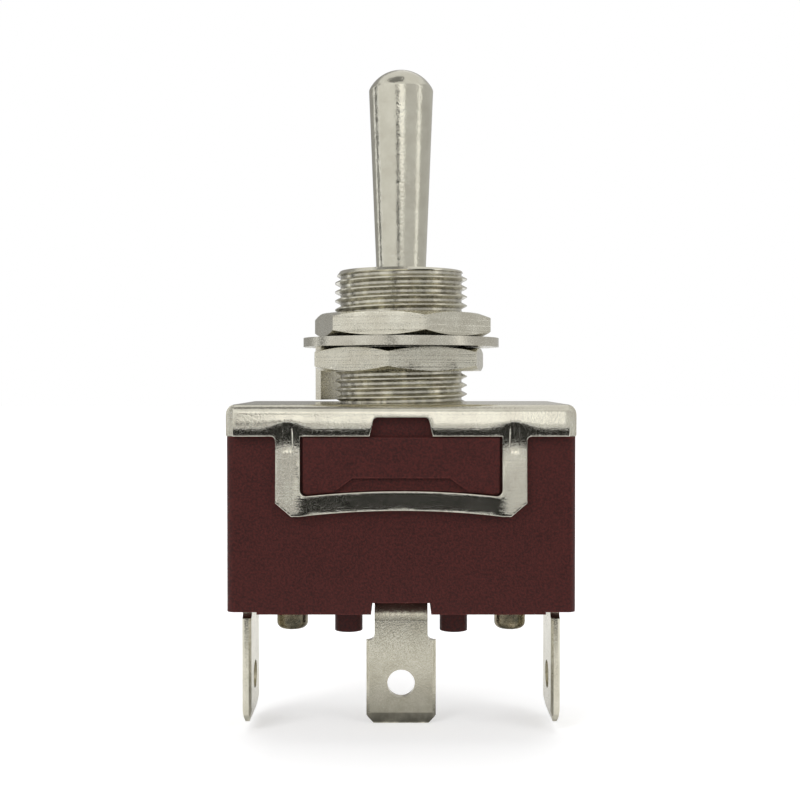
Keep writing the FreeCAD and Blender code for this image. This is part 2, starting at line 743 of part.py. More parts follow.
def make_nut(document, name, base, turn):
    """Thin hexagon nut, chamfered on both faces, outside and at its bore."""
    body = new_body(document, name)
    hexagon = new_sketch(body, f"{name}_outline", "XY_Plane")
    draw_outline(hexagon, [
        (f"nut_corner * cos({60 * corner} deg)", f"nut_corner * sin({60 * corner} deg)")
        for corner in range(6)])
    extrude(body, "Pad", hexagon, "nut_thickness")
    bore = new_sketch(body, f"{name}_bore", "XY_Plane", "nut_thickness")
    draw_circle(bore, "0", "0", "nut_bore")
    extrude(body, "Pocket", bore, "2 * nut_thickness")
    flat = "nut_across_flats / 2"
    outer = "nut_corner + nut_chamfer"
    fall = f"nut_chamfer * (nut_corner + nut_chamfer - {flat}) / (nut_corner - {flat})"
    mouth = "nut_bore + nut_bore_chamfer"
    back = "nut_bore - nut_bore_chamfer"
    cuts = new_sketch(body, f"{name}_chamfers", "XZ_Plane")
    for face, inward in (("nut_thickness", "-"), ("0", "+")):
        beyond = f"{face} + nut_chamfer" if inward == "-" else f"{face} - nut_chamfer"
        draw_outline(cuts, [
            (flat, face), (outer, f"{face} {inward} {fall}"), (outer, beyond), (flat, beyond)])
        draw_outline(cuts, [
            (mouth, face), (mouth, beyond), (back, beyond), (back, f"{face} {inward} 2 * nut_bore_chamfer")])
    turn_profile(body, "Groove", cuts)
    lift(body, base)
    body.Placement.Rotation = Rotation(Vector(0, 0, 1), value_of(body, turn))
    return body


def make_locking_washer(document):
    """Washer with a tab bent down at its rim and a key that sits in the bushing's keyway."""
    body = new_body(document, "locking_washer")
    ring = new_sketch(body, "washer_ring", "XY_Plane")
    draw_circle(ring, "0", "0", "washer_diameter / 2")
    draw_circle(ring, "0", "0", "washer_bore")
    extrude(body, "Pad", ring, "washer_thickness")
    back_turn = 90.0 - value_of(body, "washer_tab_turn")
    key = new_sketch(body, "washer_key", "XY_Plane", turn=back_turn)
    draw_block(key, "washer_bore - washer_key_depth", "washer_bore + washer_key_depth",
               "-washer_key_width / 2", "washer_key_width / 2")
    extrude(body, "Pad", key, "washer_thickness")
    outer = "washer_tab_bend + washer_tab_thickness"
    centre_x = "washer_tab_reach - washer_tab_bend - washer_tab_thickness"
    centre_z = "washer_thickness - washer_tab_thickness - washer_tab_bend"
    root = "thread_radius + washer_thickness"
    low = "plate_top + seat_clearance + washer_tab_bend - washer_base"
    tab = new_sketch(body, "washer_tab", "XZ_Plane")
    draw_outline(tab, [
        (root, "washer_thickness"),
        (root, "washer_thickness - washer_tab_thickness"),
        (centre_x, "washer_thickness - washer_tab_thickness", (centre_x, centre_z, "washer_tab_bend")),
        ("washer_tab_reach - washer_tab_thickness", centre_z),
        ("washer_tab_reach - washer_tab_thickness", low),
        ("washer_tab_reach", low),
        ("washer_tab_reach", centre_z, (centre_x, centre_z, outer)),
        (centre_x, "washer_thickness")])
    extrude(body, "Pad", tab, "washer_tab_width", both_ways=True)
    lift(body, "washer_base")
    body.Placement.Rotation = Rotation(Vector(0, 0, 1), value_of(body, "washer_tab_turn"))
    return body


# Lever

def make_lever(document):
    """Bat handle with a ball in the bushing and a hollow stem below it."""
    body = new_body(document, "lever")
    neck = "lever_neck_diameter / 2"
    stem = "stem_diameter / 2"
    section = new_sketch(body, "lever_section", "XZ_Plane")
    bore_top = "spring_top + seat_clearance"
    draw_outline(section, [
        ("plunger_bore", "stem_bottom"),
        (stem, "stem_bottom"),
        (stem, f"pivot - sqrt(ball_radius ^ 2 - ({stem}) ^ 2)", ("0", "pivot", "axis")),
        ("ball_radius", "pivot", ("0", "pivot", "axis")),
        (neck, f"pivot + sqrt(ball_radius ^ 2 - ({neck}) ^ 2)"),
        (neck, "bushing_top"),
        ("lever_head_diameter / 2", "lever_tip - lever_cap_height", cap_arc()),
        ("0", "lever_tip"),
        ("0", f"{bore_top} + plunger_bore / 2"),
        ("plunger_bore", bore_top)])
    turn_profile(body, "Revolution", section)
    cross = new_sketch(body, "pin_bore", "XZ_Plane")
    draw_circle(cross, "0", "pivot", "pin_diameter / 2 + fit_clearance")
    extrude(body, "Pocket", cross, both_ways=True)
    return body


def cap_arc():
    """Arc of the rounded tip: it meets the head's edge and crosses the axis level."""
    head = "(lever_head_diameter / 2)"
    radius = f"(({head} ^ 2 + lever_cap_height ^ 2) / (2 * lever_cap_height))"
    return "0", f"lever_tip - {radius}", "axis"


def make_pivot_pin(document):
    """Cross pin that the lever tilts on."""
    body = new_body(document, "pivot_pin")
    circle = new_sketch(body, "pin_section", "XZ_Plane")
    draw_circle(circle, "0", "pivot", "pin_diameter / 2")
    extrude(body, "Pad", circle, "pin_length", both_ways=True)
    return body


def make_plunger(document):
    """Round-nosed plunger that slides in the lever's stem."""
    body = new_body(document, "plunger")
    radius = "plunger_diameter / 2"
    section = new_sketch(body, "plunger_section", "XZ_Plane")
    draw_outline(section, [
        ("0", "plunger_tip", ("0", f"plunger_tip + {radius}", "axis")),
        (radius, f"plunger_tip + {radius}"),
        (radius, "plunger_top - plunger_end_chamfer"),
        (f"{radius} - plunger_end_chamfer", "plunger_top"),
        ("0", "plunger_top")])
    turn_profile(body, "Revolution", section)
    return body


def make_plunger_spring(document):
    """Coil spring between the plunger and the end of the stem's bore."""
    body = new_body(document, "plunger_spring")
    wire = "spring_wire / 2"
    x = f"spring_diameter / 2 - {wire}"
    z = f"plunger_top + seat_clearance + {wire}"
    section = new_sketch(body, "wire_section", "XZ_Plane")
    draw_outline(section, [
        (f"{x} + {wire} * cos({60 * corner} deg)", f"{z} + {wire} * sin({60 * corner} deg)")
        for corner in range(6)])
    coil = body.newObject("PartDesign::AdditiveHelix", "coil")
    coil.Profile = section
    coil.ReferenceAxis = (section, ["V_Axis"])
    coil.Mode = "height-turns-growth"
    coil.setExpression("Height", tied("spring_length - spring_wire - 2 * seat_clearance"))
    coil.setExpression("Turns", tied("spring_turns"))
    document.recompute()
    return body


# Rocker and contacts

def make_rocker(document):
    """Rocking arm with a hollow track for the plunger's nose and a trunnion each side."""
    body = new_body(document, "rocker")
    half = "saddle_length / 2"
    rim = f"track_centre - sqrt(track_radius ^ 2 - ({half}) ^ 2)"
    outline = new_sketch(body, "rocker_outline", "XZ_Plane")
    draw_outline(outline, [
        ("-rocker_length / 2", "rocker_bottom"),
        ("rocker_length / 2", "rocker_bottom"),
        ("rocker_length / 2", "rocker_top"),
        ("saddle_foot_length / 2", "rocker_top"),
        (half, rim, ("0", "track_centre", "track_radius")),
        (f"-{half}", rim),
        ("-saddle_foot_length / 2", "rocker_top"),
        ("-rocker_length / 2", "rocker_top")])
    extrude(body, "Pad", outline, "rocker_width", both_ways=True)
    trunnion = new_sketch(body, "trunnion", "XZ_Plane")
    draw_circle(trunnion, "0", "rocker_axis", "trunnion_diameter / 2")
    extrude(body, "Pad", trunnion, "2 * (ear_outer - running_clearance)", both_ways=True)
    return body


def make_rocker_cradle(document):
    """Bent strip on the case floor, with two open-topped ears that carry the rocker."""
    body = new_body(document, "rocker_cradle")
    top = "rocker_axis + cradle_ear_top"
    base = "cavity_floor + cradle_sheet"
    foot = "cavity_width / 2 - swing_clearance"
    section = new_sketch(body, "cradle_section", "YZ_Plane")
    draw_outline(section, [
        ("-ear_outer", "cavity_floor"),
        (foot, "cavity_floor"),
        (foot, base),
        ("ear_outer", base),
        ("ear_outer", top),
        ("ear_inner", top),
        ("ear_inner", base),
        ("-ear_inner", base),
        ("-ear_inner", top),
        ("-ear_outer", top)])
    extrude(body, "Pad", section, "cradle_length", both_ways=True)
    half_slot = "trunnion_diameter / 2 + running_clearance"
    slot = new_sketch(body, "ear_slots", "XZ_Plane")
    draw_block(slot, f"-({half_slot})", half_slot, "rocker_axis", f"{top} + 1")
    extrude(body, "Pocket", slot, both_ways=True)
    seat = new_sketch(body, "ear_seats", "XZ_Plane")
    draw_circle(seat, "0", "rocker_axis", half_slot)
    extrude(body, "Pocket", seat, both_ways=True)
    hole = new_sketch(body, "cradle_rivet_hole", "XY_Plane", base)
    draw_circle(hole, "0", "centre_rivet_distance", "rivet_radius + fit_clearance")
    extrude(body, "Pocket", hole, "2 * cradle_sheet")
    return body


def make_contact(document, name, side, seat, height, dome_down):
    """Domed contact button; its flat back lies on its seat."""
    body = new_body(document, name)
    radius = "contact_diameter / 2"
    away = "-" if dome_down else "+"
    dome = f"(({radius}) ^ 2 + contact_dome ^ 2) / (2 * contact_dome)"
    rim = f"{seat} {away} ({height} - contact_dome)"
    tip = f"{seat} {away} {height}"
    centre = f"{tip} + {dome}" if dome_down else f"{tip} - {dome}"
    section = new_sketch(body, f"{name}_section", "XZ_Plane")
    draw_outline(section, [
        ("0", seat),
        (radius, seat),
        (radius, rim, ("0", centre, "axis")),
        ("0", tip)])
    turn_profile(body, "Revolution", section)
    body.setExpression("Placement.Base.x", tied(f"{side} * contact_spacing / 2"))
    return body


# Rivets and terminals

def make_rivet(document, name, x, y, base, head, roll):
    """Tubular rivet through the case floor and a terminal's leg, rolled over below it."""
    head_diameter, head_height = head
    roll_diameter, roll_length, roll_radius = roll
    body = new_body(document, name)
    roll_half = f"{roll_diameter} / 2"
    low = f"leg_bottom - {roll_length}"
    section = new_sketch(body, f"{name}_section", "XZ_Plane")
    draw_outline(section, [
        ("0", f"{base} + {head_height}"),
        (f"{head_diameter} / 2", f"{base} + {head_height}"),
        (f"{head_diameter} / 2", base),
        ("rivet_radius", base),
        ("rivet_radius", "leg_bottom"),
        (roll_half, "leg_bottom"),
        (roll_half, f"{low} + {roll_radius}",
         (f"{roll_half} - {roll_radius}", f"{low} + {roll_radius}", roll_radius)),
        (f"{roll_half} - {roll_radius}", low),
        ("rivet_hollow_diameter / 2", low),
        ("rivet_hollow_diameter / 2", f"{low} + rivet_hollow_depth"),
        ("0", f"{low} + rivet_hollow_depth")])
    turn_profile(body, "Revolution", section)
    body.setExpression("Placement.Base.x", tied(x))
    body.setExpression("Placement.Base.y", tied(y))
    return body


def make_terminal(document, name, blade_ends, bend, rivet_distance, x, turn):
    """Tab terminal: a bevelled blade with a hole, a narrower neck and a leg bent back to its rivet."""
    body = new_body(document, name)
    tip_level, shoulder = blade_ends
    neck_level = f"{shoulder} + tab_shoulder"
    half = "tab_thickness / 2"
    outer = f"{bend} + tab_thickness"
    centre_y = f"{half} + {bend}"
    centre_z = f"leg_bottom - {bend}"
    reach = f"{rivet_distance} + leg_end_margin"
    strip = new_sketch(body, f"{name}_strip", "YZ_Plane")
    draw_outline(strip, [
        (f"-({half})", f"{shoulder} - tab_shoulder"),
        (half, f"{shoulder} - tab_shoulder"),
        (half, centre_z, (centre_y, centre_z, bend)),
        (centre_y, "leg_bottom"),
        (reach, "leg_bottom"),
        (reach, "leg_top"),
        (centre_y, "leg_top", (centre_y, centre_z, outer)),
        (f"-({half})", centre_z)])
    extrude(body, "Pad", strip, "neck_width", both_ways=True)
    blade = new_sketch(body, f"{name}_blade", "XZ_Plane")
    tip = "tab_width / 2 - tab_tip_cut_width"
    draw_outline(blade, [
        (f"-({tip})", tip_level),
        (tip, tip_level),
        ("tab_width / 2", f"{tip_level} + tab_tip_cut_height"),
        ("tab_width / 2", shoulder, ("neck_width / 2 + shoulder_radius", neck_level, "shoulder_radius")),
        ("neck_width / 2", neck_level),
        ("-neck_width / 2", neck_level, ("-(neck_width / 2 + shoulder_radius)", neck_level, "shoulder_radius")),
        ("-tab_width / 2", shoulder),
        ("-tab_width / 2", f"{tip_level} + tab_tip_cut_height")])
    extrude(body, "Pad", blade, "tab_thickness", both_ways=True)
    cut_blade_bevels(body, name, tip_level, shoulder)
    hole = new_sketch(body, f"{name}_hole", "XZ_Plane")
    draw_circle(hole, "0", f"{tip_level} + tab_hole_height", "tab_hole_diameter / 2")
    extrude(body, "Pocket", hole, both_ways=True)
    leg_hole = new_sketch(body, f"{name}_leg_hole", "XY_Plane", "leg_top")
    draw_circle(leg_hole, "0", rivet_distance, "rivet_radius + fit_clearance")
    extrude(body, "Pocket", leg_hole, "2 * tab_thickness")
    body.setExpression("Placement.Base.x", tied(x))
    body.Placement.Rotation = Rotation(Vector(0, 0, 1), turn)
    return body


def cut_blade_bevels(body, name, tip_level, shoulder):
    """Bevels along the blade's long edges and its tip, on both faces."""
    skin = "tab_thickness / 2"
    depth = f"{skin} - tab_bevel_depth"
    edges = new_sketch(body, f"{name}_edge_bevels", "XY_Plane")
    ends = new_sketch(body, f"{name}_tip_bevel", "YZ_Plane")
    for front in ("-", ""):
        for side in ("-", ""):
            draw_outline(edges, [
                (f"{side}(tab_width / 2)", f"{front}({depth})"),
                (f"{side}(tab_width / 2)", f"{front}({skin})"),
                (f"{side}(tab_width / 2 - tab_edge_bevel)", f"{front}({skin})")])
        draw_outline(ends, [
            (f"{front}({depth})", tip_level),
            (f"{front}({skin})", tip_level),
            (f"{front}({skin})", f"{tip_level} + tab_tip_bevel")])
    extrude(body, "Pocket", edges, shoulder, reverse=True)
    extrude(body, "Pocket", ends, "tab_width", both_ways=True)


def make_insulator(document):
    """Insulating sheet that closes the case's mouth round the bushing's staked end."""
    body = new_body(document, "insulator")
    sheet = new_sketch(body, "insulator_outline", "XY_Plane", "housing_top - insulator_thickness")
    draw_block(sheet, "-insulator_length / 2", "insulator_length / 2",
               "-insulator_width / 2", "insulator_width / 2")
    draw_circle(sheet, "0", "0", "stake_diameter / 2 + swing_clearance")
    extrude(body, "Pad", sheet, "insulator_thickness - fit_clearance")
    return body


# The whole switch

def make_switch(document):
    """Make every piece of the switch."""
    pieces = [
        make_housing(document),
        make_frame(document),
        make_bushing(document),
        make_nut(document, "lower_nut", "lower_nut_base", "lower_nut_turn"),
        make_locking_washer(document),
        make_nut(document, "upper_nut", "upper_nut_base", "upper_nut_turn"),
        make_lever(document),
        make_pivot_pin(document),
        make_plunger(document),
        make_plunger_spring(document),
        make_rocker(document),
        make_rocker_cradle(document),
        make_insulator(document)]
    for name, side in (("left", -1), ("right", 1)):
        pieces.append(make_contact(document, f"moving_contact_{name}", side,
                                   "rocker_bottom", "moving_contact_height", True))
        pieces.append(make_contact(document, f"fixed_contact_{name}", side,
                                   "fixed_contact_base", "fixed_contact_height", False))
        pieces.append(make_rivet(
            document, f"rivet_{name}", f"{side} * contact_spacing / 2", "0 * contact_spacing",
            "cavity_floor", ("rivet_head_diameter", "rivet_head_height"),
            ("rivet_roll_diameter", "rivet_roll_length", "rivet_roll_radius")))
        pieces.append(make_terminal(
            document, f"terminal_{name}", ("side_tip_height", "side_tab_top"), "side_bend_radius",
            "(side_tab_spacing - contact_spacing) / 2", f"{side} * side_tab_spacing / 2", side * 90.0))
    pieces.append(make_rivet(
        document, "rivet_center", "0 * contact_spacing", "centre_rivet_distance",
        "cavity_floor + cradle_sheet", ("centre_rivet_head_diameter", "rivet_head_height"),
        ("centre_rivet_roll_diameter", "centre_rivet_roll_length", "centre_rivet_roll_radius")))
    pieces.append(make_terminal(
        document, "terminal_center", ("0", "tab_length"), "centre_bend_radius", "centre_rivet_distance",
        "0 * tab_width", 0.0))
    return pieces


def check_document(document, pieces):
    """Stop if any object failed to compute, or if any piece isn't one whole solid."""
    for item in document.Objects:
        if "Invalid" in item.State or "Error" in item.State:
            raise RuntimeError(f"{item.Name} did not compute: {item.State}")
    for piece in pieces:
        shape = piece.Shape
        if shape.isNull() or not shape.isValid() or len(shape.Solids) != 1:
            raise RuntimeError(f"{piece.Label} is not one valid solid")


def main():
    """Build the switch and write one file for each piece."""
    document = FreeCAD.newDocument("toggle_switch")
    fill_sheet(document, "Sizes", SIZES, str)
    fill_sheet(document, "Places", PLACES, lambda formula: "=" + tied(formula).replace("Places.", ""))
    pieces = make_switch(document)
    document.recompute()
    check_document(document, pieces)
    os.makedirs("parts", exist_ok=True)
    for piece in pieces:
        piece.Shape.exportStep(os.path.join("parts", f"{piece.Label}.step"))
        print(piece.Label, round(piece.Shape.Volume, 3))


main()
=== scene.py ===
import logging
import math
from collections.abc import Sequence
from dataclasses import dataclass, field
from enum import Enum

import bmesh
import bpy
import numpy as np
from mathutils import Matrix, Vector
from mathutils.geometry import delaunay_2d_cdt


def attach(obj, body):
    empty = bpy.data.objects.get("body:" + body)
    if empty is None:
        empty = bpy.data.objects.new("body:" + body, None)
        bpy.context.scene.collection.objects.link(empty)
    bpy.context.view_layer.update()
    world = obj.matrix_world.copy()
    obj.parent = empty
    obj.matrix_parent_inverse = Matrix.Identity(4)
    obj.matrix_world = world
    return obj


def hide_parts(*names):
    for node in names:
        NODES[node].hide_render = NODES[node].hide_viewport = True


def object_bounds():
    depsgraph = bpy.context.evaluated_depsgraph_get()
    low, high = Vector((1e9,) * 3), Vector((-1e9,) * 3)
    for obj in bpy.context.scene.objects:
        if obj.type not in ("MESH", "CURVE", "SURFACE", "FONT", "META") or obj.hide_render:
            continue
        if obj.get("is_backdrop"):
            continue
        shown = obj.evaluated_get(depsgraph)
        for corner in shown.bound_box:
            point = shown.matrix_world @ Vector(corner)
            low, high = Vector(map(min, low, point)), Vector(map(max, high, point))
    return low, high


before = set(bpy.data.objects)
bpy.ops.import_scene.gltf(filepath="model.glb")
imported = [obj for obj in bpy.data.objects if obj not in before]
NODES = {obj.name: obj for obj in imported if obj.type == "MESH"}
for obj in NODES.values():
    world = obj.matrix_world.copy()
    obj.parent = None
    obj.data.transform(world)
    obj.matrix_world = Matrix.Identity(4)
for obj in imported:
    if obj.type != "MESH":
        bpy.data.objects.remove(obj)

LOG = logging.getLogger("toggle_switch")
MM = 0.001
FULL_TURN = 2.0 * math.pi
QUARTER_TURN = math.pi / 2.0
SIXTH_TURN = math.pi / 3.0

Point = tuple[float, float]
Corner = tuple[float, float, float]
Colour = tuple[float, float, float]
Band = tuple[float, float, float]
Materials = dict[str, bpy.types.Material]
Socket = bpy.types.NodeSocket


# Outlines

def arc_points(centre: Point, radius: float, start: float, end: float, steps: int) -> list[Point]:
    """Points along an arc in the plane of an outline.

    Args:
        centre: The arc's centre.
        radius: Its radius.
        start: Its first angle, in degrees.
        end: Its last angle, in degrees.
        steps: How many steps it takes.

    Returns:
        The points, both ends among them.
    """
    angles = [math.radians(start + (end - start) * step / steps) for step in range(steps + 1)]
    return [(centre[0] + radius * math.cos(angle), centre[1] + radius * math.sin(angle)) for angle in angles]


def around(radius: float, angle: float, height: float) -> Corner:
    """Find the corner at a radius and an angle about the Z axis, and at a height."""
    return radius * math.cos(angle), radius * math.sin(angle), height


def clamp(value: float) -> float:
    """Keep a value between 0 and 1."""
    return min(1.0, max(0.0, value))


def ease(value: float) -> float:
    """Bring a value from 0 to 1 smoothly, level at both ends."""
    value = clamp(value)
    return value * value * (3.0 - 2.0 * value)


def even_steps(loop: Sequence[Point], step: float) -> np.ndarray:
    """Divide a closed outline's edges into short steps.

    Args:
        loop: The outline's corners.
        step: The longest step.

    Returns:
        The corners of the divided outline, one per row.
    """
    points = []
    for here, there in zip(loop, [*loop[1:], loop[0]]):
        length = math.dist(here, there)
        if length < 1e-7:
            continue
        count = max(1, math.ceil(length / step))
        points += [(here[0] + (there[0] - here[0]) * i / count, here[1] + (there[1] - here[1]) * i / count)
                   for i in range(count)]
    return np.array(points)


def lies_inside(points: np.ndarray, loop: np.ndarray) -> np.ndarray:
    """Tell which points lie inside a closed outline.

    Args:
        points: The points, one per row.
        loop: The outline's corners, one per row.

    Returns:
        True for each point that lies inside.
    """
    inside = np.zeros(len(points), dtype=bool)
    x, y = points[:, 0], points[:, 1]
    for (x0, y0), (x1, y1) in zip(loop, np.roll(loop, -1, axis=0)):
        if y0 != y1:
            inside ^= ((y0 > y) != (y1 > y)) & (x < (x1 - x0) * (y - y0) / (y1 - y0) + x0)
    return inside


def lies_on_sheet(points: np.ndarray, rims: Sequence[np.ndarray]) -> np.ndarray:
    """Tell which points lie on a flat sheet.

    Args:
        points: The points, one per row.
        rims: The outline of the sheet's edge, then those of its windows and holes.

    Returns:
        True for each point inside the first outline and outside the others.
    """
    keep = lies_inside(points, rims[0])
    for rim in rims[1:]:
        keep &= ~lies_inside(points, rim)
    return keep


def inset(loop: np.ndarray, into: bool) -> np.ndarray:
    """Find the way from each corner of an outline into the sheet, for an inset of one metre.

    Args:
        loop: The outline's corners, one per row.
        into: True where the sheet lies inside the outline, False round a hole.

    Returns:
        One vector per corner.
    """
    before, after = loop - np.roll(loop, 1, axis=0), np.roll(loop, -1, axis=0) - loop
    area = np.sum(loop[:, 0] * np.roll(loop[:, 1], -1) - loop[:, 1] * np.roll(loop[:, 0], -1))
    side = 1.0 if (area > 0) == into else -1.0
    normals = []
    for edge in (before, after):
        normal = np.stack((-edge[:, 1], edge[:, 0]), axis=1) * side
        normals.append(normal / np.linalg.norm(normal, axis=1)[:, None])
    middle = normals[0] + normals[1]
    middle /= np.linalg.norm(middle, axis=1)[:, None]
    return middle / np.maximum(0.5, np.sum(middle * normals[0], axis=1))[:, None]


# Meshes

def make_object(name: str, verts: Sequence[Sequence[float]], faces: Sequence[Sequence[int]]) -> bpy.types.Object:
    """Make a mesh object from corners and faces.

    Args:
        name: The piece's name.
        verts: Its corners, in metres.
        faces: Its faces, as lists of corner numbers.

    Returns:
        The new object, linked to the scene.
    """
    mesh = bpy.data.meshes.new(name)
    mesh.from_pydata([tuple(v) for v in verts], [], [tuple(f) for f in faces])
    mesh.validate()
    piece = bpy.data.objects.new(name, mesh)
    bpy.context.scene.collection.objects.link(piece)
    return piece


def make_solid(name: str, verts: Sequence[Sequence[float]], faces: Sequence[Sequence[int]],
               gap: float = 1e-8, dissolve: bool = False) -> bpy.types.Object:
    """Make a closed mesh object with every face turned outwards.

    Args:
        name: The piece's name.
        verts: Its corners, in metres.
        faces: Its faces, as lists of corner numbers.
        gap: Corners nearer than this become one.
        dissolve: True to dissolve faces and edges without a size too.

    Returns:
        The new object.
    """
    piece = make_object(name, verts, faces)
    work = bmesh.new()
    work.from_mesh(piece.data)
    bmesh.ops.remove_doubles(work, verts=work.verts, dist=gap)
    if dissolve:
        bmesh.ops.dissolve_degenerate(work, edges=work.edges, dist=gap)
    bmesh.ops.recalc_face_normals(work, faces=work.faces)
    work.to_mesh(piece.data)
    work.free()
    return piece


def lathe(name: str, profile: Sequence[Point], segments: int) -> bpy.types.Object:
    """Turn a profile about the Z axis.

    Args:
        name: The piece's name.
        profile: Points (radius, height) in metres, in order, from pole to pole. A pole has radius 0.
        segments: How many steps make the full turn.

    Returns:
        The turned piece.
    """
    verts: list[Corner] = []
    rings: list[list[int]] = []
    for radius, height in profile:
        if radius:
            rings.append([len(verts) + step for step in range(segments)])
            verts += [around(radius, FULL_TURN * step / segments, height) for step in range(segments)]
        else:
            rings.append([len(verts)] * segments)
            verts.append((0.0, 0.0, height))
    faces = []
    for low, high in zip(rings, rings[1:]):
        faces += [list(dict.fromkeys((low[i - 1], low[i], high[i], high[i - 1]))) for i in range(segments)]
    return make_solid(name, verts, faces)


def skin(name: str, columns: Sequence[Sequence[Corner]]) -> bpy.types.Object:
    """Span a closed ring-shaped piece from upright closed loops that stand round the Z axis.

    Args:
        name: The piece's name.
        columns: The loops, each with as many corners, in order round the axis.

    Returns:
        The piece.
    """
    count = len(columns[0])
    faces = []
    for index in range(len(columns)):
        here, there = index * count, (index + 1) % len(columns) * count
        for step in range(count):
            after = (step + 1) % count
            faces.append((here + step, there + step, there + after, here + after))
    return make_solid(name, [corner for column in columns for corner in column], faces, 2e-7, dissolve=True)


def cut_out(piece: bpy.types.Object, cutter: bpy.types.Object) -> None:
    """Cut one piece out of another and drop the cutter.

    Args:
        piece: The piece that is cut.
        cutter: A closed mesh.
    """
    cut = piece.modifiers.new("cut", "BOOLEAN")
    cut.operation = "DIFFERENCE"
    cut.object = cutter
    evaluated = piece.evaluated_get(bpy.context.evaluated_depsgraph_get())
    old = piece.data
    piece.data = bpy.data.meshes.new_from_object(evaluated)
    piece.modifiers.clear()
    bpy.data.meshes.remove(old)
    bpy.data.objects.remove(cutter)


def dress(piece: bpy.types.Object, material: bpy.types.Material) -> None:
    """Give a piece one material."""
    piece.data.materials.clear()
    piece.data.materials.append(material)


@dataclass(frozen=True)
class Role:
    """What a modelled piece stands for in the switch, and how it is finished."""

    node: str
    body: str
    slot: str
    finish: str
    sharp_degrees: float

    def give(self, piece: bpy.types.Object, materials: Materials) -> None:
        """Shade and finish a piece, and let it take the place of the solid that it was modelled on.

        Args:
            piece: The modelled piece.
            materials: The finishes by name.
        """
        for polygon in piece.data.polygons:
            polygon.use_smooth = True
        piece.data.set_sharp_from_angle(angle=math.radians(self.sharp_degrees))
        dress(piece, materials[self.finish])
        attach(piece, self.body)
        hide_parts(self.node)


# Node groups

class Tree:
    """A node tree with short ways to add nodes and links."""

    def __init__(self, tree: bpy.types.NodeTree) -> None:
        """Take hold of a node tree."""
        self.tree = tree

    def feed(self, target: Socket, source: Socket | Colour | float) -> None:
        """Link an input to a socket, or set it to a plain colour or number.

        Args:
            target: The input.
            source: A socket, a colour without its alpha, or a number.
        """
        if isinstance(source, Socket):
            self.tree.links.new(source, target)
        else:
            target.default_value = (*source, 1.0) if isinstance(source, tuple) else source

    def put(self, node: bpy.types.Node, **inputs: object) -> None:
        """Feed a node's inputs, by name with spaces as underscores."""
        for key, source in inputs.items():
            self.feed(node.inputs[key.replace("_", " ")], source)

    def add(self, kind: str, **settings: object) -> bpy.types.Node:
        """Add a node.

        Args:
            kind: The node's type, without its ShaderNode prefix.
            **settings: Its properties, or what feeds its inputs by name with spaces as underscores.

        Returns:
            The node.
        """
        node = self.tree.nodes.new("ShaderNode" + kind)
        for key, value in settings.items():
            if hasattr(node, key):
                setattr(node, key, value)
            else:
                self.put(node, **{key: value})
        return node

    def ramp(self, source: Socket, low: float, high: float) -> Socket:
        """Stretch a value between two limits to the range 0 to 1."""
        return self.add("MapRange", Value=source, From_Min=low, From_Max=high).outputs["Result"]

    def sum(self, operation: str, first: Socket, second: Socket | float) -> Socket:
        """Combine two values.

        Args:
            operation: The name of the Math node's operation.
            first: The first value.
            second: The second value.

        Returns:
            The result.
        """
        node = self.add("Math", operation=operation)
        self.feed(node.inputs[0], first)
        self.feed(node.inputs[1], second)
        return node.outputs[0]

    def blend(self, factor: Socket, first: Socket | Colour, second: Socket | Colour) -> Socket:
        """Mix two colours.

        Args:
            factor: How far the mix goes from the first to the second.
            first: The first colour.
            second: The second colour.

        Returns:
            The mixed colour.
        """
        node = self.add("Mix", data_type="RGBA", Factor=factor)
        self.feed(node.inputs[6], first)
        self.feed(node.inputs[7], second)
        return node.outputs[2]


def new_group(name: str, inputs: dict[str, float],
              outputs: Sequence[str]) -> tuple[Tree, bpy.types.Node, bpy.types.Node]:
    """Start a shader node group of plain values.

    Args:
        name: The group's name.
        inputs: Its inputs and their usual values.
        outputs: Its outputs.

    Returns:
        Its tree, its input node and its output node.
    """
    group = bpy.data.node_groups.new(name, "ShaderNodeTree")
    for label, value in inputs.items():
        socket = group.interface.new_socket(label, in_out="INPUT", socket_type="NodeSocketFloat")
        socket.default_value = value
    for label in outputs:
        group.interface.new_socket(label, in_out="OUTPUT", socket_type="NodeSocketFloat")
    return Tree(group), group.nodes.new("NodeGroupInput"), group.nodes.new("NodeGroupOutput")


def build_speckle_group() -> bpy.types.NodeTree:
    """Build the fine speckle of plated and moulded surfaces.

    Returns:
        The group, with masks of specks and of wider patches, and the height of a shallow grain.
    """
    tree, start, end = new_group("fine_speckle", {"Grain Scale": 5000.0, "Patch Scale": 500.0},
                                 ("Specks", "Patches", "Height"))
    place = tree.add("TexCoord").outputs["Object"]
    grain = tree.add("TexNoise", Vector=place, Scale=start.outputs["Grain Scale"], Detail=3.0, Roughness=0.65)
    patches = tree.add("TexNoise", Vector=place, Scale=start.outputs["Patch Scale"], Detail=4.0, Roughness=0.6)
    tree.put(end, Specks=tree.ramp(grain.outputs["Fac"], 0.38, 0.62),
             Patches=tree.ramp(patches.outputs["Fac"], 0.35, 0.65), Height=grain.outputs["Fac"])
    return tree.tree


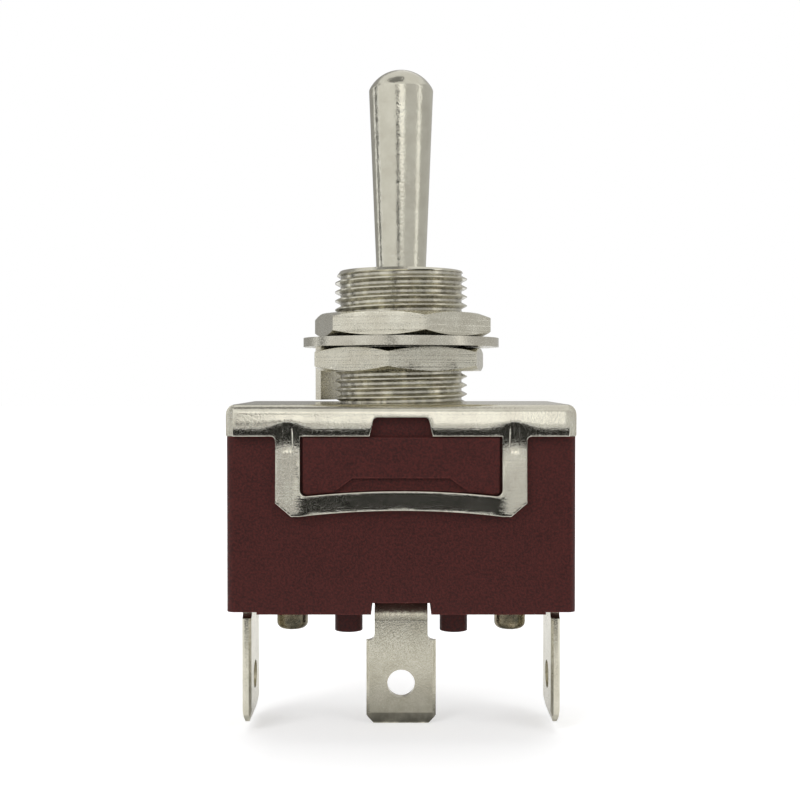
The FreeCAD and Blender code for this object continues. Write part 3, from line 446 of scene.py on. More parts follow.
def build_wear_and_shade_group() -> bpy.types.NodeTree:
    """Build the masks of worn edges and of painted shade in sheltered corners.

    Returns:
        The group, with a mask of exposed edges and one of sheltered corners, which sets where painted shade
        darkens a metal.
    """
    tree, start, end = new_group(
        "edge_wear_and_corner_shade", {"Edge Width": 0.0002, "Corner Width": 0.0006, "Break Up": 1200.0}, ("Edges", "Corners"))
    broken = tree.add("TexNoise", Vector=tree.add("TexCoord").outputs["Object"],
                      Scale=start.outputs["Break Up"], Detail=3.0)
    broken = tree.ramp(broken.outputs["Fac"], 0.3, 0.6)
    for output, width, inside, low in (("Edges", "Edge Width", True, 0.75),
                                       ("Corners", "Corner Width", False, 0.9)):
        # Edges: occlusion inside a piece finds worn edges. Corners: occlusion outside finds sheltered corners, the
        # mask for painted shade.
        shelter = tree.add("AmbientOcclusion", samples=6, inside=inside, only_local=inside,
                           Distance=start.outputs[width])
        mask = tree.ramp(shelter.outputs["AO"], low, 0.3)
        tree.put(end, **{output: tree.sum("MULTIPLY", mask, broken)})
    return tree.tree


def build_lines_group() -> bpy.types.NodeTree:
    """Build fine parallel lines, such as rolling, turning or shearing leaves.

    Returns:
        The group, with a value that changes quickly across the lines and slowly along them.
    """
    tree, start, end = new_group("fine_lines", {"Scale X": 1.0, "Scale Y": 1.0, "Scale Z": 1.0}, ("Lines",))
    scale = tree.add("CombineXYZ", **{axis: start.outputs[f"Scale {axis}"] for axis in "XYZ"})
    stretch = tree.add("VectorMath", operation="MULTIPLY")
    tree.feed(stretch.inputs[0], tree.add("TexCoord").outputs["Object"])
    tree.feed(stretch.inputs[1], scale.outputs[0])
    noise = tree.add("TexNoise", Vector=stretch.outputs[0], Scale=1.0, Detail=2.0, Roughness=0.5)
    tree.put(end, Lines=tree.ramp(noise.outputs["Fac"], 0.3, 0.7))
    return tree.tree


class Effects:
    """The node groups that more than one material uses, each built once."""

    def __init__(self) -> None:
        """Build the groups."""
        self.speckle = build_speckle_group()
        # Masks of worn edges, and of sheltered corners for painted shade.
        self.wear = build_wear_and_shade_group()
        self.lines = build_lines_group()


def start_material(name: str) -> tuple[bpy.types.Material, Tree, bpy.types.Node]:
    """Start a node material.

    Args:
        name: The material's name.

    Returns:
        The material, its tree and its Principled BSDF.
    """
    material = bpy.data.materials.new(name)
    material.use_nodes = True
    shader = next(node for node in material.node_tree.nodes if node.type == "BSDF_PRINCIPLED")
    return material, Tree(material.node_tree), shader


# Finishes

class Grain(Enum):
    """Which way a metal's fine lines run, as line counts per metre along X, Y and Z."""

    NONE = (0.0, 0.0, 0.0)
    LEVEL = (60.0, 60.0, 6000.0)
    UPRIGHT = (9000.0, 9000.0, 150.0)
    LENGTHWISE = (100.0, 5000.0, 5000.0)


@dataclass(frozen=True)
class PlatedMetal:
    """Plated or bare metal with a satin speckle, fine lines, and painted shade that darkens its sheltered corners.
    """

    name: str
    colour: Colour
    shade: Colour
    roughness: float
    spread: float = 0.12
    speckle: float = 5000.0
    patches: float = 500.0
    bump: float = 0.000012
    grain: Grain = Grain.NONE
    grain_depth: float = 0.000006
    # Painted shade in sheltered corners: its strength, its reach and how dark its colour is.
    painted_shade: float = 0.35
    painted_shade_width: float = 0.0006
    painted_shade_tone: float = 0.35

    def build(self, effects: Effects) -> bpy.types.Material:
        """Build the material.

        Args:
            effects: The shared node groups.

        Returns:
            The material.
        """
        material, tree, shader = start_material(self.name)
        speckle = tree.add("Group", node_tree=effects.speckle, Grain_Scale=self.speckle, Patch_Scale=self.patches)
        wear = tree.add("Group", node_tree=effects.wear, Corner_Width=self.painted_shade_width)
        colour = tree.blend(speckle.outputs["Patches"], self.shade, self.colour)
        # Painted shade: darken the colour where ambient occlusion finds sheltered corners.
        colour = tree.blend(tree.sum("MULTIPLY", wear.outputs["Corners"], self.painted_shade), colour,
                            tuple(channel * self.painted_shade_tone for channel in self.shade))
        rough = tree.sum("MULTIPLY", speckle.outputs["Specks"], self.spread)
        bump = tree.add("Bump", Strength=1.0, Distance=self.bump, Height=speckle.outputs["Height"])
        if self.grain is not Grain.NONE:
            x, y, z = self.grain.value
            lines = tree.add("Group", node_tree=effects.lines, Scale_X=x, Scale_Y=y, Scale_Z=z)
            ridges = tree.add("Bump", Strength=1.0, Distance=self.grain_depth, Height=lines.outputs["Lines"])
            tree.put(bump, Normal=ridges.outputs["Normal"])
        tree.put(shader, Base_Color=colour, Roughness=tree.sum("ADD", rough, self.roughness), Metallic=1.0,
                 Normal=bump.outputs["Normal"])
        return material


@dataclass(frozen=True)
class Moulding:
    """Moulded phenolic, fibre or nylon: fine specks in the resin, and paler worn edges."""

    name: str
    colour: Colour
    dark: Colour
    pale: Colour
    roughness: float
    speckle: float = 3500.0
    patches: float = 420.0
    bump: float = 0.00002
    spread: float = 0.15
    cloud: float = 0.2
    wear: float = 0.7
    wear_gain: float = 2.2
    wear_lift: float = 0.02

    def build(self, effects: Effects) -> bpy.types.Material:
        """Build the material.

        Args:
            effects: The shared node groups.

        Returns:
            The material.
        """
        material, tree, shader = start_material(self.name)
        speckle = tree.add("Group", node_tree=effects.speckle, Grain_Scale=self.speckle, Patch_Scale=self.patches)
        edges = tree.add("Group", node_tree=effects.wear).outputs["Edges"]
        colour = tree.blend(speckle.outputs["Specks"], self.dark, self.colour)
        colour = tree.blend(tree.sum("MULTIPLY", speckle.outputs["Patches"], self.cloud), colour, self.pale)
        colour = tree.blend(tree.sum("MULTIPLY", edges, self.wear), colour,
                            tuple(min(1.0, channel * self.wear_gain + self.wear_lift) for channel in self.pale))
        rough = tree.sum("MULTIPLY", speckle.outputs["Specks"], self.spread)
        bump = tree.add("Bump", Strength=1.0, Distance=self.bump, Height=speckle.outputs["Height"])
        tree.put(shader, Base_Color=colour, Roughness=tree.sum("ADD", rough, self.roughness),
                 Specular_IOR_Level=0.3, Normal=bump.outputs["Normal"])
        return material


FINISHES = (
    PlatedMetal("polished_nickel", (0.80, 0.785, 0.68), (0.72, 0.70, 0.60), 0.11, 0.08, speckle=3000.0,
                bump=0.000022),
    # Strong painted shade in the thread's roots.
    PlatedMetal("thread_nickel", (0.84, 0.82, 0.71), (0.70, 0.67, 0.57), 0.13, painted_shade=0.9),
    PlatedMetal("nut_nickel", (0.84, 0.82, 0.71), (0.75, 0.72, 0.61), 0.17, grain=Grain.LEVEL,
                grain_depth=0.000014),
    PlatedMetal("washer_steel", (0.80, 0.78, 0.68), (0.68, 0.65, 0.56), 0.17),
    PlatedMetal("frame_nickel", (0.84, 0.82, 0.71), (0.76, 0.73, 0.63), 0.14, 0.07, bump=0.000015,
                grain=Grain.LENGTHWISE, grain_depth=0.000003),
    # Full, wide painted shade darkens the blades where they run up under the housing, standing in for its shadow.
    PlatedMetal("tab_nickel", (0.78, 0.75, 0.63), (0.66, 0.63, 0.51), 0.15, bump=0.000011,
                grain=Grain.UPRIGHT, grain_depth=0.000004, painted_shade=1.0, painted_shade_width=0.002),
    PlatedMetal("rivet_metal", (0.34, 0.29, 0.19), (0.10, 0.095, 0.07), 0.2, patches=900.0),
    PlatedMetal("bare_brass", (0.78, 0.58, 0.28), (0.66, 0.47, 0.21), 0.3),
    PlatedMetal("contact_silver", (0.86, 0.85, 0.82), (0.74, 0.73, 0.70), 0.3),
    PlatedMetal("spring_wire", (0.55, 0.54, 0.52), (0.40, 0.39, 0.37), 0.25),
    Moulding("maroon_phenolic", (0.084, 0.0108, 0.0085), (0.034, 0.0045, 0.0038), (0.096, 0.014, 0.011), 0.45,
             speckle=5200.0),
    Moulding("pressed_fibre", (0.36, 0.20, 0.10), (0.27, 0.15, 0.07), (0.42, 0.26, 0.14), 0.7),
    Moulding("white_nylon", (0.78, 0.76, 0.70), (0.70, 0.68, 0.62), (0.84, 0.82, 0.77), 0.45))


# Stage

def show_in_reflections(card: bpy.types.Object, level: float) -> None:
    """Give a card an even brightness and show it to reflected rays alone.

    Args:
        card: The card.
        level: Its brightness, where 1 is white.
    """
    material, tree, shader = start_material(f"{card.name}_finish")
    tree.put(shader, Base_Color=(0.0, 0.0, 0.0), Specular_IOR_Level=0.0, Emission_Strength=1.0,
             Emission_Color=(level, level * 0.985, level * 0.955))
    dress(card, material)
    card.visible_camera = False
    card.visible_diffuse = False
    card.visible_shadow = False
    card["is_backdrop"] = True


@dataclass(frozen=True)
class Card:
    """Upright curved card round the switch that only reflections show."""

    name: str
    azimuth_degrees: float
    width_degrees: float
    level: float
    low: float = -0.02
    high: float = 0.45
    radius: float = 0.42

    def build(self) -> None:
        """Stand the card, with azimuth 0 at the camera and positive angles to its right."""
        count = max(2, round(self.width_degrees / 6.0))
        verts = []
        for step in range(count + 1):
            turn = math.radians(self.azimuth_degrees + self.width_degrees * (step / count - 0.5))
            x, y = self.radius * math.sin(turn), -self.radius * math.cos(turn)
            verts += [(x, y, self.low), (x, y, self.high)]
        faces = [(2 * i, 2 * i + 2, 2 * i + 3, 2 * i + 1) for i in range(count)]
        show_in_reflections(make_object(self.name, verts, faces), self.level)


def lay_sheet(name: str, near: Corner, far: Corner) -> bpy.types.Object:
    """Lay a level rectangle between two opposite corners of the same height."""
    (left, front, height), (right, back, _) = near, far
    return make_object(name, [(left, front, height), (right, front, height), (right, back, height),
                              (left, back, height)], [(0, 1, 2, 3)])


@dataclass(frozen=True)
class FlatCard:
    """Level rectangular card that only reflections show."""

    name: str
    level: float
    near: Corner
    far: Corner

    def build(self) -> None:
        """Lay the card between its two corners."""
        show_in_reflections(lay_sheet(self.name, self.near, self.far), self.level)


@dataclass(frozen=True)
class Lamp:
    """Soft square lamp that looks at the switch."""

    name: str
    place: Corner
    size: float
    power: float
    aim: Corner = (0.0, 0.0, 0.03)

    def build(self) -> None:
        """Hang the lamp."""
        data = bpy.data.lights.new(self.name, "AREA")
        data.size = self.size
        data.energy = self.power
        lamp = bpy.data.objects.new(self.name, data)
        lamp.location = self.place
        lamp.rotation_euler = (Vector(self.aim) - Vector(self.place)).to_track_quat("-Z", "Y").to_euler()
        bpy.context.scene.collection.objects.link(lamp)


@dataclass
class Studio:
    """Camera, pale floor, white backdrop, soft lamps and the cards that metal reflects."""

    distance: float = 0.10902
    height: float = 0.03132
    shift_x: float = -0.0001
    pitch_degrees: float = 1.044
    lens: float = 54.18
    sensor: float = 36.0
    floor_half: float = 1.2
    floor_glow: float = 0.45
    floor_far_glow: float = 0.3
    floor_mirrored: float = 0.2
    floor_near: float = 0.06
    floor_far: float = 0.35
    world_level: float = 0.45
    world_seen: float = 0.55
    lamps: tuple[Lamp, ...] = (
        Lamp("left_lamp", (-0.35, -0.40, 0.40), 0.30, 1.1),
        Lamp("right_lamp", (0.42, -0.30, 0.30), 0.25, 0.6),
        Lamp("top_lamp", (0.0, 0.10, 0.55), 0.40, 1.0))
    cards: tuple[Card, ...] = (
        Card("left_card", -50.0, 84.0, 0.72),
        Card("dark_left_card", -104.0, 13.0, 0.12, radius=0.38),
        Card("left_rear_card", -148.0, 56.0, 0.33),
        Card("dark_front_card", -12.0, 11.0, 0.03, low=0.035, high=0.125, radius=0.38),
        Card("front_card", 28.0, 72.0, 0.53),
        Card("bright_right_card", 71.0, 14.0, 1.0, radius=0.38),
        Card("right_card", 104.0, 52.0, 0.48),
        Card("rear_card", 180.0, 120.0, 0.5, radius=0.5),
        Card("high_front_card", 0.0, 26.0, 1.15, low=0.07, high=0.30, radius=0.40))
    flat_cards: tuple[FlatCard, ...] = (
        FlatCard("low_card", 0.02, (-0.30, -0.180, 0.002), (0.30, -0.034, 0.002)),
        # Reflection-only sheets under the centre blade, darker towards its tip: painted reflection of the floor in
        # the switch's shadow.
        FlatCard("tab_card", 0.66, (-0.012, -0.026, 0.0001), (0.012, -0.013, 0.0001)),
        FlatCard("tip_card", 0.40, (-0.012, -0.013, 0.0001), (0.012, -0.0018, 0.0001)),
        FlatCard("dark_tip_card", 0.2, (-0.012, -0.0018, 0.0001), (0.012, 0.004, 0.0001)),
        FlatCard("ceiling_card", 0.72, (-0.42, -0.42, 0.46), (0.42, 0.42, 0.46)),
        FlatCard("dark_ceiling_card", 0.2, (-0.20, -0.17, 0.44), (0.03, 0.05, 0.44)))

    def build(self) -> None:
        """Set up the camera, the floor, the world, the lamps and the cards."""
        self.add_camera()
        self.add_floor()
        self.add_world()
        for item in (*self.lamps, *self.cards, *self.flat_cards):
            item.build()
        bpy.context.scene.view_settings.view_transform = "Standard"

    def add_camera(self) -> None:
        """Put the camera in front of the switch, looking slightly down at it."""
        data = bpy.data.cameras.new("camera")
        data.sensor_width = self.sensor
        data.lens = self.lens
        data.clip_start = 0.001
        camera = bpy.data.objects.new("camera", data)
        camera.location = (self.shift_x, -self.distance, self.height)
        camera.rotation_euler = (math.radians(90.0 - self.pitch_degrees), 0.0, 0.0)
        bpy.context.scene.collection.objects.link(camera)
        bpy.context.scene.camera = camera

    def add_floor(self) -> None:
        """Lay a pale floor that keeps the switch's shadow and turns white towards its edge."""
        half = self.floor_half
        floor = lay_sheet("floor", (-half, -half, 0.0), (half, half, 0.0))
        material, tree, shader = start_material("pale_floor")
        rays = tree.add("LightPath")
        reach = tree.add("VectorMath", operation="LENGTH")
        tree.feed(reach.inputs[0], tree.add("TexCoord").outputs["Object"])
        far = tree.ramp(reach.outputs["Value"], self.floor_near, self.floor_far)
        far = tree.sum("MULTIPLY", far, self.floor_far_glow)
        seen = tree.sum("MULTIPLY", tree.sum("ADD", far, self.floor_glow), rays.outputs["Is Camera Ray"])
        mirrored = tree.sum("MULTIPLY", rays.outputs["Is Glossy Ray"], self.floor_mirrored)
        tree.put(shader, Base_Color=(0.80, 0.80, 0.80), Roughness=0.9, Specular_IOR_Level=0.0,
                 Emission_Color=(1.0, 1.0, 1.0), Emission_Strength=tree.sum("ADD", seen, mirrored))
        dress(floor, material)
        floor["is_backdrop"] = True

    def add_world(self) -> None:
        """Light the scene evenly, with a white background for the eye and for reflections."""
        world = bpy.data.worlds.new("studio")
        world.use_nodes = True
        bpy.context.scene.world = world
        tree = Tree(world.node_tree)
        background = next(node for node in world.node_tree.nodes if node.type == "BACKGROUND")
        rays = tree.add("LightPath").outputs
        seen = tree.sum("ADD", rays["Is Camera Ray"], rays["Is Transmission Ray"])
        seen = tree.sum("MULTIPLY", tree.sum("ADD", seen, rays["Is Glossy Ray"]), self.world_seen)
        tree.put(background, Color=(1.0, 1.0, 1.0), Strength=tree.sum("ADD", seen, self.world_level))


# Sub-assemblies

@dataclass
class Lever:
    """Polished bat handle, with its ball and hollow stem inside the bushing."""

    role: Role = Role("lever", "lever", "lever", "polished_nickel", 28.0)
    tip: float = 59.0 * MM
    cap_height: float = 1.8 * MM
    head_radius: float = 2.885 * MM
    neck_radius: float = 2.225 * MM
    neck_top: float = 40.9 * MM
    neck_steps: int = 24
    shoulder_gap: float = 0.1 * MM
    shoulder_round: tuple[Point, ...] = ((0.0, -0.04 * MM), (-0.02 * MM, 0.01 * MM))
    pivot: float = 33.4 * MM
    ball_radius: float = 4.1 * MM
    stem_radius: float = 2.7 * MM
    near: float = 0.01 * MM
    segments: int = 192

    def profile(self) -> list[Point]:
        """Trace the lever's half section from the stem's bore round to the tip.

        Returns:
            Points (radius, height), in metres.
        """
        corners = [(math.hypot(vertex.co.x, vertex.co.y), vertex.co.z) for vertex in NODES["lever"].data.vertices]
        bottom = min(height for _, height in corners)
        bore = min(radius for radius, height in corners if height < bottom + self.near)
        bore_top = max(height for radius, height in corners if abs(radius - bore) < self.near)
        stem_angle = math.degrees(math.acos(self.stem_radius / self.ball_radius))
        neck_angle = math.degrees(math.acos(self.neck_radius / self.ball_radius))
        points = [(0.0, bore_top + bore * 0.9), (bore, bore_top), (bore, bottom), (self.stem_radius, bottom)]
        points += arc_points((0.0, self.pivot), self.ball_radius, -stem_angle, neck_angle, 40)
        shoulder = self.tip - self.cap_height
        wider, longer = self.head_radius - self.neck_radius, shoulder - self.shoulder_gap - self.neck_top
        points += [(self.neck_radius + wider * part, self.neck_top + longer * part)
                   for part in (step / self.neck_steps for step in range(self.neck_steps + 1))]
        dome = (self.head_radius ** 2 + self.cap_height ** 2) / (2.0 * self.cap_height)
        start = math.degrees(math.asin((shoulder - self.tip + dome) / dome))
        points += [(self.head_radius + out, shoulder + up) for out, up in self.shoulder_round]
        points += arc_points((0.0, self.tip - dome), dome, start, 90.0, 28)[1:-1]
        return [*points, (0.0, self.tip)]

    def build(self, materials: Materials) -> None:
        """Turn the lever and finish it."""
        self.role.give(lathe("lever_shaft", self.profile(), self.segments), materials)


@dataclass(frozen=True)
class Thread:
    """The bushing's fine right-hand thread, which the nuts share."""

    crest: float = 5.95 * MM
    depth: float = 0.487 * MM
    pitch: float = 25.4 * MM / 32.0
    start: float = 29.1 * MM
    crest_half: float = 0.0625
    flank: float = 0.3125
    phases: tuple[float, ...] = (0.0, 0.0625, 0.17, 0.28, 0.375, 0.5, 0.625, 0.72, 0.83, 0.9375)

    def radius(self, angle: float, height: float) -> float:
        """Find the thread's radius at an angle and a height.

        Args:
            angle: The angle about the Z axis.
            height: The height above the floor.

        Returns:
            The radius, in metres.
        """
        phase = ((height - self.start) / self.pitch - angle / FULL_TURN) % 1.0
        from_crest = min(phase, 1.0 - phase)
        return self.crest - self.depth * clamp((from_crest - self.crest_half) / self.flank)

    def heights(self, angle: float, low: float, high: float) -> list[float]:
        """List heights that follow the thread's crests, flanks and roots between two levels.

        Args:
            angle: The angle about the Z axis, from 0 to a full turn.
            low: The lower level.
            high: The upper level.

        Returns:
            As many heights at every angle; those beyond a level lie on it.
        """
        first = math.floor((low - self.start) / self.pitch) - 1
        last = math.ceil((high - self.start) / self.pitch)
        lift = self.start + self.pitch * angle / FULL_TURN
        return [min(high, max(low, lift + self.pitch * (turn + phase)))
                for turn in range(first, last + 1) for phase in self.phases]


@dataclass
class Bushing:
    """Threaded bushing with its keyway, its cup for the ball and its staked foot."""

    role: Role = Role("bushing", "base", "bushing", "thread_nickel", 32.0)
    thread: Thread = Thread()
    plate_top: float = 29.1 * MM
    top: float = 40.9 * MM
    chamfer_height: float = 0.6 * MM
    chamfer_width: float = 0.45 * MM
    keyway_half: float = 0.8 * MM
    keyway_floor: float = 5.35 * MM
    mouth: float = 4.1 * MM
    mouth_chamfer: Point = (0.12 * MM, 0.1 * MM)
    throat: float = 3.1 * MM
    seat: float = 4.25 * MM
    pivot: float = 33.4 * MM
    stake: float = 5.7 * MM
    stake_bottom: float = 27.9 * MM
    housing_top: float = 28.4 * MM
    spigot: float = 5.2 * MM
    pin_groove: float = 1.05 * MM
    pin_reach: float = 4.65 * MM
    segments: int = 230

    def edge_radius(self, angle: float, height: float) -> float:
        """Find the outside radius, where the thread meets the top chamfer."""
        above = max(0.0, height - (self.top - self.chamfer_height))
        return min(self.thread.radius(angle, height),
                   self.thread.crest - self.chamfer_width * above / self.chamfer_height)

    def inner_column(self, angle: float) -> list[Corner]:
        """Trace the bore at an angle, from the mouth down to the foot and back up to the plate.

        Args:
            angle: The angle about the Z axis.

        Returns:
            The corners.
        """
        start = math.degrees(math.acos(self.throat / self.seat))
        wider, deeper = self.mouth_chamfer
        points = [(self.mouth + wider, self.top), (self.mouth, self.top - deeper)]
        points += arc_points((0.0, self.pivot), self.seat, start, 0.0, 16)
        points += [(self.seat, self.stake_bottom), (self.stake, self.stake_bottom), (self.stake, self.housing_top),
                   (self.spigot, self.housing_top), (self.spigot, self.plate_top)]
        return [around(radius, angle, height) for radius, height in points]

    def column(self, angle: float, wall: float = 0.0) -> list[Corner]:
        """Stand one loop of the bushing at an angle.

        Args:
            angle: The angle about the Z axis, from a quarter turn (the keyway) on round.
            wall: The x of the keyway's wall, where the loop stands on it.

        Returns:
            The loop's corners.
        """
        corners = []
        for height in self.thread.heights(angle, self.plate_top, self.top):
            radius = self.edge_radius(angle, height)
            corners.append((wall, math.sqrt(radius ** 2 - wall ** 2), height) if wall
                           else around(radius, angle, height))
        return corners + self.inner_column(angle)

    def floor_column(self, across: float, count: int) -> list[Corner]:
        """Stand one loop on the keyway's floor.

        Args:
            across: The loop's x.
            count: How many corners it has, as the loops on the thread.

        Returns:
            The loop's corners.
        """
        inner = self.inner_column(math.atan2(self.keyway_floor, across))
        rows = count - len(inner)
        span = self.top - self.plate_top
        outer = [(across, self.keyway_floor, self.plate_top + span * row / (rows - 1)) for row in range(rows)]
        return outer + inner

    def pin_cutter(self) -> bpy.types.Object:
        """Shape the cutter of the two grooves that let the pivot pin in from below.

        Returns:
            The cutter.
        """
        low = self.stake_bottom - 1.0 * MM
        outline = [(self.pin_groove, low), *arc_points((0.0, self.pivot), self.pin_groove, 0.0, 180.0, 20),
                   (-self.pin_groove, low)]
        count = len(outline)
        verts = [(x, y, z) for y in (-self.pin_reach, self.pin_reach) for x, z in outline]
        faces = [tuple(range(count)), tuple(range(2 * count - 1, count - 1, -1))]
        faces += [(i, (i + 1) % count, count + (i + 1) % count, count + i) for i in range(count)]
        return make_solid("pin_cutter", verts, faces)

    def build(self, materials: Materials) -> None:
        """Span the bushing, cut its pin grooves and finish it.

        Args:
            materials: The finishes by name.
        """
        half = math.asin(self.keyway_half / self.thread.crest)
        first, last = QUARTER_TURN + half, QUARTER_TURN + FULL_TURN - half
        columns = [self.column(first, -self.keyway_half)]
        columns += [self.column(first + (last - first) * step / self.segments) for step in range(1, self.segments)]
        columns.append(self.column(last, self.keyway_half))
        count = len(columns[0])
        columns += [self.floor_column(part * self.keyway_half, count) for part in (1.0, 0.5, 0.0, -0.5, -1.0)]
        piece = skin("threaded_bushing", columns)
        cut_out(piece, self.pin_cutter())
        self.role.give(piece, materials)


@dataclass
class Nut:
    """Thin hexagon nut on the bushing's thread."""

    name: str
    node: str
    base: float
    turn_degrees: float
    thread: Thread = Thread()
    across_flats: float = 14.29 * MM
    thickness: float = 2.05 * MM
    chamfer: float = 0.42 * MM
    minor: float = 5.56 * MM
    play: float = 0.02 * MM
    mouth: float = 6.05 * MM
    mouth_depth: float = 0.35 * MM
    corner_round: float = 0.14 * MM
    edge_break: float = 0.02 * MM
    face_inset: float = 0.03 * MM
    face_ring: float = 0.4 * MM
    chamfer_parts: tuple[float, ...] = (0.25, 0.5, 0.75, 0.985)
    flat_steps: int = 34

    def outline(self) -> list[Point]:
        """Trace the hexagon with slightly rounded corners.

        Returns:
            Points (angle, radius), in order round the axis from angle 0.
        """
        reach = (self.across_flats / 2.0 - self.corner_round) / math.cos(SIXTH_TURN / 2.0)
        points = []
        for corner in range(6):
            middle = math.radians(self.turn_degrees + 60.0 * corner)
            after = middle + SIXTH_TURN
            arc = [Vector(around(reach, middle, 0.0)) + Vector(around(self.corner_round, middle + turn, 0.0))
                   for turn in (SIXTH_TURN * part for part in (-0.5, -0.25, 0.0, 0.25, 0.5))]
            far = (Vector(around(reach, after, 0.0))
                   + Vector(around(self.corner_round, after - SIXTH_TURN / 2.0, 0.0)))
            flat = [arc[-1].lerp(far, step / self.flat_steps) for step in range(1, self.flat_steps)]
            points += [(math.atan2(point.y, point.x) % FULL_TURN, point.length) for point in arc + flat]
        return sorted(points)

    def fall(self, radius: float) -> float:
        """Find how far the face has fallen at a radius, where its chamfer cone cuts it."""
        half, corner = self.across_flats / 2.0, self.across_flats / math.sqrt(3.0)
        return max(0.0, self.chamfer * (radius - half) / (corner - half))

    def bore_radius(self, angle: float, height: float) -> float:
        """Find the bore's radius, where its thread meets the countersinks of both faces.

        Args:
            angle: The angle about the Z axis.
            height: The height above the floor.

        Returns:
            The radius, in metres.
        """
        inside = min(height - self.base, self.base + self.thickness - height)
        mouth = self.mouth - max(0.0, inside) * (self.mouth - self.minor) / self.mouth_depth
        return max(self.minor, self.thread.radius(angle, height) + self.play, mouth)

    def column(self, angle: float, radius: float) -> list[Corner]:
        """Stand one loop of the nut at an angle, from the bore over the top to the underside.

        Args:
            angle: The angle about the Z axis.
            radius: The hexagon's radius there.

        Returns:
            The loop's corners.
        """
        top, half = self.base + self.thickness, self.across_flats / 2.0 - self.face_inset
        face = [(half - self.face_ring, 0.0), (half, 0.0)]
        for part in self.chamfer_parts:
            place = half + (radius - half) * part
            face.append((place, self.fall(place)))
        face.append((radius, self.fall(radius) + self.edge_break))
        loop = [(self.bore_radius(angle, height), height) for height in self.thread.heights(angle, self.base, top)]
        loop += [(place, top - fall) for place, fall in face]
        loop.append((radius, self.base + self.thickness / 2.0))
        loop += [(place, self.base + fall) for place, fall in reversed(face)]
        return [around(place, angle, height) for place, height in loop]

    def build(self, materials: Materials) -> None:
        """Span the nut and finish it."""
        piece = skin(self.name, [self.column(angle, radius) for angle, radius in self.outline()])
        Role(self.node, "base", "nuts", "nut_nickel", 12.0).give(piece, materials)


